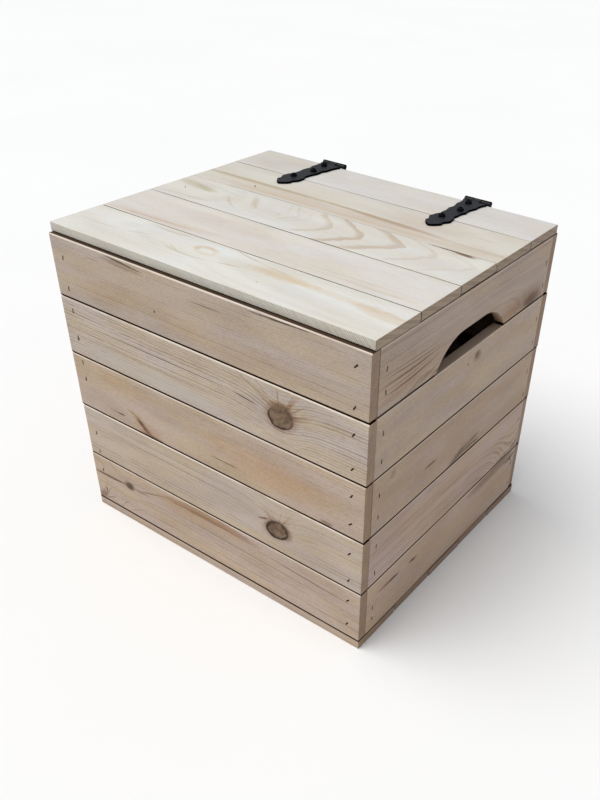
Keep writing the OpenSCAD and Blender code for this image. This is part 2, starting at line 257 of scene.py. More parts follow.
class Shape:
    """Points and faces gathered from several closed surfaces."""

    def __init__(self):
        self.points, self.faces, self.count = [], [], 0

    def add(self, points, faces):
        """Adds a surface whose faces count its own points."""
        self.faces += [[corner + self.count for corner in face] for face in faces]
        self.points.append(points)
        self.count += len(points)

    def whole(self):
        return np.concatenate(self.points), self.faces


def grid_faces(rows, columns, round_columns=True, round_rows=False):
    """Quads of a grid whose points run row by row; a round grid's last row or column meets its first."""
    row = np.arange(rows if round_rows else rows - 1)[:, None]
    column = np.arange(columns if round_columns else columns - 1)[None, :]
    here, below = row * columns, (row + 1) % rows * columns
    after = (column + 1) % columns
    quads = np.broadcast_arrays(here + column, here + after, below + after, below + column)
    return np.stack(quads, axis=-1).reshape(-1, 4).tolist()


def tube_faces(rows, columns):
    """Faces of a tube whose points run row by row, closed at both ends."""
    last = (rows - 1) * columns
    return grid_faces(rows, columns) + [tuple(range(columns))[::-1], tuple(range(last, last + columns))]


def drift(rng, places, reach):
    """Values from 0 to 1 that change smoothly with place: random heights every reach, joined by half cosine waves."""
    steps = places / reach
    heights = rng.random(int(np.ceil(steps.max())) + 3)
    whole = np.floor(steps).astype(int)
    blend = 0.5 - 0.5 * np.cos(np.pi * (steps - whole))
    return heights[whole] * (1 - blend) + heights[whole + 1] * blend


def section(arc_steps=5, wide_steps=8, thin_steps=2):
    """Outline of a rounded rectangle as shares, so that a point is side x (half size - radius) + turn x radius.

    The side is 1 or -1 at the corners, whose turn goes round a quarter circle, and changes evenly along the flats."""
    side, turn = [], []
    corners = ((1, 1, 0.0), (-1, 1, 0.5), (-1, -1, 1.0), (1, -1, 1.5))
    for index, (across, out, start) in enumerate(corners):
        angles = np.pi * (start + np.linspace(0, 0.5, arc_steps + 1))
        side += [(across, out)] * (arc_steps + 1)
        turn += list(zip(np.cos(angles), np.sin(angles)))
        after = corners[(index + 1) % 4]
        steps = wide_steps if index % 2 == 0 else thin_steps
        flat = np.linspace(0, 1, steps + 1)[1:-1]
        side += [(across + (after[0] - across) * t, out + (after[1] - out) * t) for t in flat]
        turn += [(np.cos(angles[-1]), np.sin(angles[-1]))] * len(flat)
    return np.array(side), np.array(turn)


SECTION_SIDE, SECTION_TURN = section()
# Places of a board's first sections, as shares of its end's rounding
END_STEPS = np.array([0.0, 0.08, 0.3, 0.6])
# How far along a board its four faces' dips, its edges' wear and its cup take to change
DIP_REACHES = (0.13, 0.17, 0.07, 0.09)
WEAR_REACH, CUP_REACH = 0.045, 0.25
LEAST_EASE = 0.0002


def board_points(length, width, thickness, seed, settings):
    """Points of a board, row by row: one row is a cross-section, a rounded rectangle carried along the board.

    Its radius drifts along the board, its faces dip a little along and across, and near the ends it shrinks by
    r - sqrt(r^2 - (r - d)^2), where d is the distance to the end, which rounds the end's edge."""
    rng = np.random.default_rng(seed)
    round_over = settings.end_ease
    inner = np.linspace(round_over, length - round_over, max(2, int(length / settings.step)) + 1)
    near = round_over * END_STEPS
    along = np.concatenate([near, inner, length - near[::-1]])
    to_end = np.minimum(np.minimum(along, length - along), round_over)
    inset = round_over - np.sqrt(np.maximum(0.0, round_over**2 - (round_over - to_end) ** 2))
    dips = [settings.bow * drift(rng, along, reach) for reach in DIP_REACHES]
    half_w = (width - dips[0] - dips[1]) / 2 - inset
    half_t = (thickness - dips[2] - dips[3]) / 2 - inset
    radius = settings.ease - settings.wear * drift(rng, along, WEAR_REACH)
    radius = np.minimum(np.maximum(radius - inset, LEAST_EASE), np.minimum(half_w, half_t) * 0.9)
    across = SECTION_SIDE[:, 0] * (half_w - radius)[:, None] + SECTION_TURN[:, 0] * radius[:, None]
    out = SECTION_SIDE[:, 1] * (half_t - radius)[:, None] + SECTION_TURN[:, 1] * radius[:, None]
    across = across + ((dips[0] - dips[1]) / 2)[:, None]
    out = out + ((dips[2] - dips[3]) / 2)[:, None]
    hollow = (1 - np.clip(across / half_w[:, None], -1, 1) ** 2) * SECTION_TURN[:, 1] ** 3
    cup = settings.cup * drift(rng, along, CUP_REACH)
    out = out - hollow * cup[:, None]
    places = np.stack(np.broadcast_arrays((along - length / 2)[:, None], across, out), axis=-1)
    return places.reshape(-1, 3), len(along), len(SECTION_SIDE)


def board_frame(node, facing):
    """The middle of a CAD board, the matrix whose columns are its directions, and its size along them."""
    low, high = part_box(node)
    turn = np.array(FACINGS[facing], float).T
    size = np.abs(turn.T @ np.array(high - low))
    return np.array(low + high) / 2, turn, size


def staple_places(node, outward):
    """Middles and directions of the crowns of the CAD node's staples, found from their outer faces."""
    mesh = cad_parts[node].data
    points = np.empty(len(mesh.vertices) * 3, np.float32)
    mesh.vertices.foreach_get("co", points)
    points = np.unique(points.reshape(-1, 3).round(5), axis=0)
    reach = points @ np.array(outward, float)
    crowns = points[reach > reach.max() - 0.1 * MM]
    gaps = np.linalg.norm(crowns[:, None] - crowns[None], axis=-1)
    owner = np.argmax(gaps < CROWN_REACH, axis=1)
    places = []
    for first in np.unique(owner):
        corners = crowns[owner == first]
        sides = corners - corners[0]
        lengths = np.sort(np.linalg.norm(sides, axis=1))
        side = sides[np.argmin(np.abs(np.linalg.norm(sides, axis=1) - lengths[-2]))]
        places.append((corners.mean(axis=0), side / np.linalg.norm(side)))
    return places


def pocket_points(place, side, outward, play):
    """Corners of the pocket of one crown: a box round it that runs out past the face of the wood."""
    depth = SINK + CROWN[1] + play
    normal = np.array(outward, float)
    axes = np.stack([side, np.cross(normal, side), normal])
    size = np.array([CROWN[0] + 2 * play, CROWN[1] + 2 * play, 2 * depth])
    return place + normal * SINK + (CUBE * size) @ axes


def hole_points(outline, flare, depth, round_over):
    """Corners of the tool that cuts a hole: copies of its outline, wider near both faces by the edges' rounding."""
    levels = np.array([-depth, -depth / 2 - 0.01 * MM, -depth / 2 + round_over * 0.3, -depth / 2 + round_over])
    widen = round_over * np.array([1.0, 1.0, 0.35, 0.0])
    levels = np.concatenate([levels, -levels[::-1]])
    widen = np.concatenate([widen, widen[::-1]])
    rings = [np.insert(outline + flare * more, 2, level, axis=1) for level, more in zip(levels, widen)]
    return np.concatenate(rings), len(levels)


def cut(piece, points, faces):
    """Cuts a closed mesh out of a piece for good."""
    tool = new_object("cutter", new_mesh("cutter", points, faces))
    modifier = piece.modifiers.new("cut", "BOOLEAN")
    modifier.operation = "DIFFERENCE"
    modifier.solver = "EXACT"
    modifier.object = tool
    done = bpy.data.meshes.new_from_object(piece.evaluated_get(bpy.context.evaluated_depsgraph_get()))
    piece.modifiers.clear()
    old, spare = piece.data, tool.data
    done.name = old.name
    piece.data = done
    bpy.data.objects.remove(tool)
    bpy.data.meshes.remove(spare)
    bpy.data.meshes.remove(old)


# ---------------------------------------------------------------- node trees


class Graph:
    """Writes a node tree as formulas: each call adds one node and hands back its output."""

    def __init__(self, tree):
        self.tree = tree

    def fill(self, node, sockets):
        """Links or writes each value to the input of its name or number, and hands back the node."""
        for key, value in sockets:
            if isinstance(value, bpy.types.NodeSocket):
                self.tree.links.new(value, node.inputs[key])
            elif value is not None:
                node.inputs[key].default_value = value
        return node

    def add(self, kind, *values, **settings):
        """A node with its settings, and its first inputs filled in order."""
        node = self.tree.nodes.new(kind)
        for key, value in settings.items():
            setattr(node, key, value)
        return self.fill(node, enumerate(values))

    def math(self, operation, *values):
        return self.add("ShaderNodeMath", *values, operation=operation).outputs[0]

    def total(self, a, b):
        return self.math("ADD", a, b)

    def product(self, first, *others):
        for value in others:
            first = self.math("MULTIPLY", first, value)
        return first

    def times_plus(self, a, b, c):
        """a x b + c."""
        return self.math("MULTIPLY_ADD", a, b, c)

    def absolute(self, value):
        """The value without its sign."""
        return self.math("ABSOLUTE", value)

    def vector(self, operation, *values):
        node = self.add("ShaderNodeVectorMath", *values, operation=operation)
        return node.outputs["Value" if operation in ("DOT_PRODUCT", "LENGTH") else "Vector"]

    def scaled(self, vector, factor):
        """A vector times a number that may be a socket."""
        node = self.add("ShaderNodeVectorMath", vector, operation="SCALE")
        return self.fill(node, [("Scale", factor)]).outputs["Vector"]

    def split(self, vector):
        return self.add("ShaderNodeSeparateXYZ", vector).outputs

    def join(self, x, y=0.0, z=0.0):
        return self.add("ShaderNodeCombineXYZ", x, y, z).outputs[0]

    def noise(self, vector, stretch, seed=0.0, detail=2.0, rough=0.5, colour=False):
        """Noise whose features are 1/stretch long in each direction, moved away by the seed."""
        place = self.vector("MULTIPLY", vector, stretch)
        place = self.vector("ADD", place, self.scaled(SEED_STEP, seed))
        node = self.add("ShaderNodeTexNoise", place)
        self.fill(node, (("Scale", 1.0), ("Detail", detail), ("Roughness", rough)))
        return node.outputs[1 if colour else 0]

    def ramp(self, value, start, end, low=0.0, high=1.0):
        """A smooth step from low at start to high at end."""
        return self.add("ShaderNodeMapRange", value, start, end, low, high, interpolation_type="SMOOTHSTEP").outputs[0]

    def mix(self, share_b, a, b, blend="MIX"):
        node = self.add("ShaderNodeMix", data_type="RGBA", blend_type=blend)
        return self.fill(node, ((0, share_b), (6, a), (7, b))).outputs[2]

    def times(self, a, b):
        """One colour multiplied by another."""
        return self.mix(1.0, a, b, "MULTIPLY")

    def shade(self, share_shaded, tone, tint):
        """A tone that is multiplied by the tint as far as the share says."""
        return self.mix(share_shaded, tone, self.times(tone, tint))

    def use(self, group, **values):
        """An instance of a node group, with its inputs filled by name."""
        return self.fill(self.add("ShaderNodeGroup", node_tree=group), values.items()).outputs

    def surface(self, sockets, height=None, strength=0.0, distance=0.0):
        """A principled surface with a bump, and the output of the material."""
        if height is not None:
            bump = self.add("ShaderNodeBump")
            self.fill(bump, (("Height", height), ("Strength", strength), ("Distance", distance)))
            sockets["Normal"] = bump.outputs[0]
        shader = self.fill(self.add("ShaderNodeBsdfPrincipled"), sockets.items())
        self.add("ShaderNodeOutputMaterial", shader.outputs[0])


# How far one seed moves a noise
SEED_STEP = (3.7, 1.9, 5.3)
# Numbers of the flame's formula: sqrt(w^2 + 60) is 7.7 at its tip, so that the tip is round
FLAME_ROUND, FLAME_TIP = 60.0, 7.7
# How much a knot's outline leans, and the tints of its heart towards the top and of the wood round it
KNOT_LEAN = -0.14
KNOT_RED = (1.0, 0.8, 0.76, 1.0)
KNOT_HALO = (0.66, 0.5, 0.4, 1.0)


def blank_tree(holder):
    """The emptied node tree of a material or world."""
    holder.use_nodes = True
    holder.node_tree.nodes.clear()
    return holder.node_tree


def new_group(name, colours, vectors, floats, results):
    """A node group, given its sockets' names: its graph, its inputs and a function that fills its outputs."""
    tree = bpy.data.node_groups.new(name, "ShaderNodeTree")
    for kind, labels in (("Color", colours), ("Vector", vectors), ("Float", floats)):
        for label in filter(None, labels.split(", ")):
            tree.interface.new_socket(label, in_out="INPUT", socket_type=f"NodeSocket{kind}")
    for label in results.split(", "):
        kind = "Color" if label == "Colour" else "Float"
        tree.interface.new_socket(label, in_out="OUTPUT", socket_type=f"NodeSocket{kind}")
    source = tree.nodes.new("NodeGroupInput")
    sink = tree.nodes.new("NodeGroupOutput")
    graph = Graph(tree)

    def finish(**values):
        graph.fill(sink, values.items())
        return tree

    return graph, source.outputs, finish


def ring_field_group():
    """Distance of a place from the tree's pith: sqrt((W - pith W)^2 + (T + pith depth + slope x L)^2), with W and T
    pushed about by slow noise of the size Wander."""
    g, has, finish = new_group("Ring Field", "", "Board, Pith", "Slope, Wander, Seed", "Depth")
    push = g.noise(has["Board"], (0.0045, 0.014, 0.014), has["Seed"], 2.5, 0.45, colour=True)
    push = g.scaled(g.vector("SUBTRACT", push, (0.5, 0.5, 0.5)), has["Wander"])
    along = g.split(has["Board"])[0]
    away = g.split(g.vector("SUBTRACT", g.vector("ADD", has["Board"], push), has["Pith"]))
    deep = g.times_plus(along, has["Slope"], away[2])
    return finish(Depth=g.math("SQRT", g.total(g.product(away[1], away[1]), g.product(deep, deep))))


def swell_group():
    """Raises the ring field round a place: Depth + Amount x exp(-|(place - Centre) / Size|^2), over L and W only."""
    g, has, finish = new_group("Swell", "", "Board, Centre, Size", "Depth, Amount", "Depth")
    away = g.vector("DIVIDE", g.vector("SUBTRACT", has["Board"], has["Centre"]), has["Size"])
    away = g.vector("MULTIPLY", away, (1.0, 1.0, 0.0))
    bell = g.math("EXPONENT", g.product(g.vector("DOT_PRODUCT", away, away), -1.0))
    return finish(Depth=g.times_plus(bell, has["Amount"], has["Depth"]))


def pine_group():
    """Colour and height of planed pine at a ring depth.

    The ring number is Depth / Spacing plus slow noise; its fraction rises smoothly from early to late wood and drops at
    the next ring, and each ring has a strength of its own. Fibres, resin dashes, slow clouds, cooler and yellower areas
    and fine specks lie over it."""
    floats = "Depth, Spacing, Start, Contrast, Dashes, Specks, Seed"
    g, has, finish = new_group("Pine", "Early, Late, Cool, Sunny", "Board", floats, "Colour, Height, Late")
    board, seed = has["Board"], has["Seed"]
    ring = g.math("DIVIDE", has["Depth"], has["Spacing"])
    ring = g.times_plus(g.noise(g.join(has["Depth"], seed), (0.09, 1.0, 1.0), 0.0, 1.0), 2.2, ring)
    ring = g.times_plus(g.noise(board, (0.03, 0.2, 0.2), seed, 5.0, 0.6), 0.5, ring)
    part = g.math("FRACT", ring)
    number = g.join(g.math("FLOOR", ring), seed)
    strength = g.add("ShaderNodeTexWhiteNoise", number, noise_dimensions="3D").outputs[0]
    late = g.product(g.ramp(part, has["Start"], 0.88), g.ramp(part, 0.9, 1.0, 1.0, 0.0))
    late = g.product(late, g.times_plus(strength, 0.75, 0.25))
    fade = g.noise(board, (0.025, 0.12, 0.12), g.total(seed, 13.0), 3.0, 0.6)
    late = g.product(late, g.ramp(fade, 0.32, 0.62, 0.45, 1.2))
    fibre = g.noise(board, (0.035, 1.3, 1.3), seed, 3.0, 0.6)
    dash = g.product(g.ramp(g.noise(board, (0.11, 1.9, 1.9), seed, 1.0), 0.66, 0.78), has["Dashes"])
    cloud = g.noise(board, (0.009, 0.03, 0.03), seed, 2.0, 0.55)
    share_late = g.product(late, has["Contrast"])
    share_late = g.total(share_late, g.ramp(fibre, 0.3, 0.75, -0.02, 0.14))
    share_late = g.total(share_late, g.ramp(cloud, 0.3, 0.7, -0.05, 0.22))
    share_late = g.add("ShaderNodeClamp", share_late, 0.0, 1.3).outputs[0]
    colour = g.mix(share_late, has["Early"], has["Late"])
    colour = g.mix(g.product(dash, 0.4), colour, has["Late"], "MULTIPLY")
    patch = g.noise(board, (0.007, 0.035, 0.035), g.total(seed, 31.0), 2.0)
    colour = g.times(colour, g.mix(g.ramp(patch, 0.36, 0.64), has["Cool"], has["Sunny"]))
    speck = g.noise(board, (0.22, 0.75, 0.75), seed, 4.0, 0.7)
    darkest, palest = (g.math(operation, 1.0, has["Specks"]) for operation in ("SUBTRACT", "ADD"))
    colour = g.scaled(colour, g.ramp(speck, 0.32, 0.68, darkest, palest))
    height = g.times_plus(late, 0.5, g.product(fibre, 0.5))
    height = g.math("SUBTRACT", height, g.product(dash, 0.5))
    height = g.total(height, g.product(speck, has["Specks"]))
    return finish(Colour=colour, Height=height, Late=late)


def mark_group():
    """A stain, streak or speck near the board's face: an oval that may slope and bend across the grain.

    W - slope x L - bend x L^2 takes the place of W. It fades out from its edge (reach 1) to reach Soft, and fades again
    inside reach Hollow, which leaves a ring. Its ragged edge comes from noise, and Cover says whether its tint is laid
    over the wood (1) or multiplies it (0)."""
    floats = "Slope, Bend, Ragged, Soft, Hollow, Strength, Cover"
    g, has, finish = new_group("Mark", "Colour, Tint", "Board, Centre, Size", floats, "Colour")
    along, across, out = g.split(g.vector("SUBTRACT", has["Board"], has["Centre"]))
    lean = g.times_plus(along, has["Bend"], has["Slope"])
    across = g.math("SUBTRACT", across, g.product(along, lean))
    reach = g.vector("LENGTH", g.vector("DIVIDE", g.join(along, across, out), has["Size"]))
    rough = g.noise(has["Board"], (0.06, 0.5, 0.5), 7.0, 3.0, 0.6)
    reach = g.total(reach, g.product(g.math("SUBTRACT", rough, 0.5), has["Ragged"]))
    part = g.product(g.ramp(reach, 1.0, has["Soft"]), has["Strength"])
    part = g.product(part, g.ramp(reach, has["Hollow"], g.math("SUBTRACT", has["Hollow"], 0.3), 1.0, 0.0))
    laid = g.mix(has["Cover"], g.times(has["Colour"], has["Tint"]), has["Tint"])
    return finish(Colour=g.mix(part, has["Colour"], laid))


def flame_group():
    """A flame of a growth ring: a band behind a rounded V whose tip points along +L.

    How far a place lies past the V is L - tip L + arm x (sqrt((W - tip W)^2 + 60) - 7.7), with one arm slope for each
    side of the tip, pushed about by noise. The band runs from 0 back to -Width, and ends at Reach from the tip's W."""
    floats = "Low Arm, High Arm, Reach, Width, Strength"
    g, has, finish = new_group("Flame", "Colour, Tint", "Board, Tip", floats, "Colour")
    along, across, _ = g.split(g.vector("SUBTRACT", has["Board"], has["Tip"]))
    bent = g.math("SUBTRACT", g.math("SQRT", g.times_plus(across, across, FLAME_ROUND)), FLAME_TIP)
    place = g.times_plus(bent, g.ramp(across, -2.0, 2.0, has["Low Arm"], has["High Arm"]), along)
    rough = g.noise(has["Board"], (0.035, 0.06, 0.06), 4.0, 4.0, 0.6)
    place = g.times_plus(g.math("SUBTRACT", rough, 0.5), 26.0, place)
    back = g.product(has["Width"], -1.0)
    part = g.product(g.ramp(place, 0.7, -1.3), g.ramp(place, back, g.product(back, 0.35)))
    ends = g.ramp(g.absolute(across), has["Reach"], g.product(has["Reach"], 0.7))
    return finish(Colour=g.shade(g.product(part, ends, has["Strength"]), has["Colour"], has["Tint"]))


def knot_group():
    """A knot through the board: an oval with a mottled heart and a dark rim that is strongest at its lower left.

    Its outline is soft and reddish at the top, where dark lashes run out of it, and a stained halo surrounds it."""
    floats = "Rim Share, Top Rim, Mottle, Halo, Seed"
    g, has, finish = new_group("Knot", "Colour, Heart, Rim", "Board, Centre, Size", floats, "Colour, Height")
    seed = has["Seed"]
    along, across, _ = g.split(g.vector("SUBTRACT", has["Board"], has["Centre"]))
    across = g.times_plus(along, KNOT_LEAN, across)
    flat = g.vector("MULTIPLY", g.vector("DIVIDE", g.join(along, across), has["Size"]), (1.0, 1.0, 0.0))
    wobble = g.noise(flat, (1.3, 1.3, 1.0), seed, 2.0)
    reach = g.total(g.vector("LENGTH", flat), g.times_plus(wobble, 0.3, -0.15))
    along, across, _ = g.split(flat)
    turn = g.math("ARCTAN2", across, along)
    sine, cosine = g.math("SINE", turn), g.math("COSINE", turn)
    ring = g.join(sine, cosine)
    low = g.times_plus(sine, -0.8, g.product(cosine, -0.45))
    soft = g.ramp(low, -0.7, 0.2, 0.2, 0.045)
    inside = g.ramp(reach, g.total(1.0, soft), g.math("SUBTRACT", 1.0, soft))
    tone = g.product(g.ramp(g.noise(flat, (1.7, 1.7, 1.0), seed, 5.0, 0.6), 0.42, 0.6), has["Mottle"])
    heart = g.mix(tone, g.scaled(has["Heart"], 1.1), g.mix(0.75, has["Heart"], has["Rim"]))
    heart = g.shade(g.ramp(low, 0.1, -0.8, 0.0, 0.5), heart, KNOT_RED)
    edge = g.noise(ring, (1.1, 1.1, 1.0), g.total(seed, 4.0), 2.0)
    start = g.math("SUBTRACT", 1.0, g.product(has["Rim Share"], g.ramp(edge, 0.3, 0.7, 0.5, 1.5)))
    rim = g.product(
        g.ramp(reach, start, g.times_plus(start, 0.5, 0.47)),
        g.ramp(low, -0.5, 0.5, has["Top Rim"], 1.0),
    )
    heart = g.mix(g.product(rim, 0.92), heart, has["Rim"])
    lashes = g.ramp(g.noise(ring, (6.0, 6.0, 1.0), seed, 1.0), 0.52, 0.64)
    streak = g.product(lashes, g.ramp(reach, 2.9, 1.1), g.ramp(sine, -0.1, 0.5))
    halo = g.product(g.total(g.ramp(reach, 1.6, 0.95, 0.0, 0.75), streak), has["Halo"])
    wood = g.shade(halo, has["Colour"], KNOT_HALO)
    return finish(Colour=g.mix(inside, wood, heart), Height=g.product(rim, -1.0))


WOOD_GROUPS = {
    "Ring Field": ring_field_group,
    "Swell": swell_group,
    "Pine": pine_group,
    "Mark": mark_group,
    "Flame": flame_group,
    "Knot": knot_group,
}


def rgba(value):
    return (*value[:3], 1.0)


def tinted(base, tint):
    return rgba([a * b for a, b in zip(base, tint)])


# ---------------------------------------------------------------- looks of the boards


def mark(l, w, length, width, tint, strength, cover, slope=0.0, bend=0.0, ragged=0.5, deep=4.0, soft=0.35, hollow=0.0):
    """One mark: its middle and half size in L and W, its tint, and how it slopes and bends."""
    return {
        "Centre": (l, w, 0.0),
        "Size": (length, width, deep),
        "Tint": tint,
        "Strength": strength,
        "Cover": cover,
        "Slope": slope,
        "Bend": bend,
        "Ragged": ragged,
        "Soft": soft,
        "Hollow": hollow,
    }


def stain(*place, **shape):
    """A mark whose tint multiplies the wood."""
    return mark(*place, cover=0.0, **shape)


def streak(*place, **shape):
    """A mark whose tint is laid over the wood."""
    return mark(*place, cover=1.0, **shape)


def flame(l, w, low, high, width, tint, strength, reach=60.0):
    """One flame: its tip in L and W, and how far its low and its high arm run back for each millimetre across."""
    arms = {"Low Arm": low, "High Arm": high}
    return {"Tip": (l, w, 0.0), "Width": width, "Tint": tint, "Strength": strength, "Reach": reach, **arms}


def knot(l, w, length, width, rim, halo=0.6, seed=1.0, top=0.3, mottle=0.5):
    """One knot: its middle and half size in L and W."""
    rims = {"Rim Share": rim, "Top Rim": top}
    return {"Centre": (l, w, 0.0), "Size": (length, width, 1.0), "Halo": halo, "Seed": seed, "Mottle": mottle, **rims}


def look(pith, spacing, **more):
    """How one board was cut from its tree. Pith is its place across the board and below the face.

    The arris value is how strong the painted highlight on its upper edge is, and seams how strong the painted shade
    on its low and its high edge is in their seams; a negative one paints light instead, which hides a tight seam."""
    return {"pith": pith, "spacing": spacing, **COMMON_LOOK, **more}


COMMON_LOOK = {
    "slope": 0.0,
    "wander": 8.0,
    "contrast": 0.6,
    "start": 0.3,
    "dashes": 0.3,
    "swells": (),
    "marks": (),
    "knots": (),
    "flames": (),
    "tint": (1, 1, 1),
    "arris": 0.3,
    "seams": (1, 1),
}

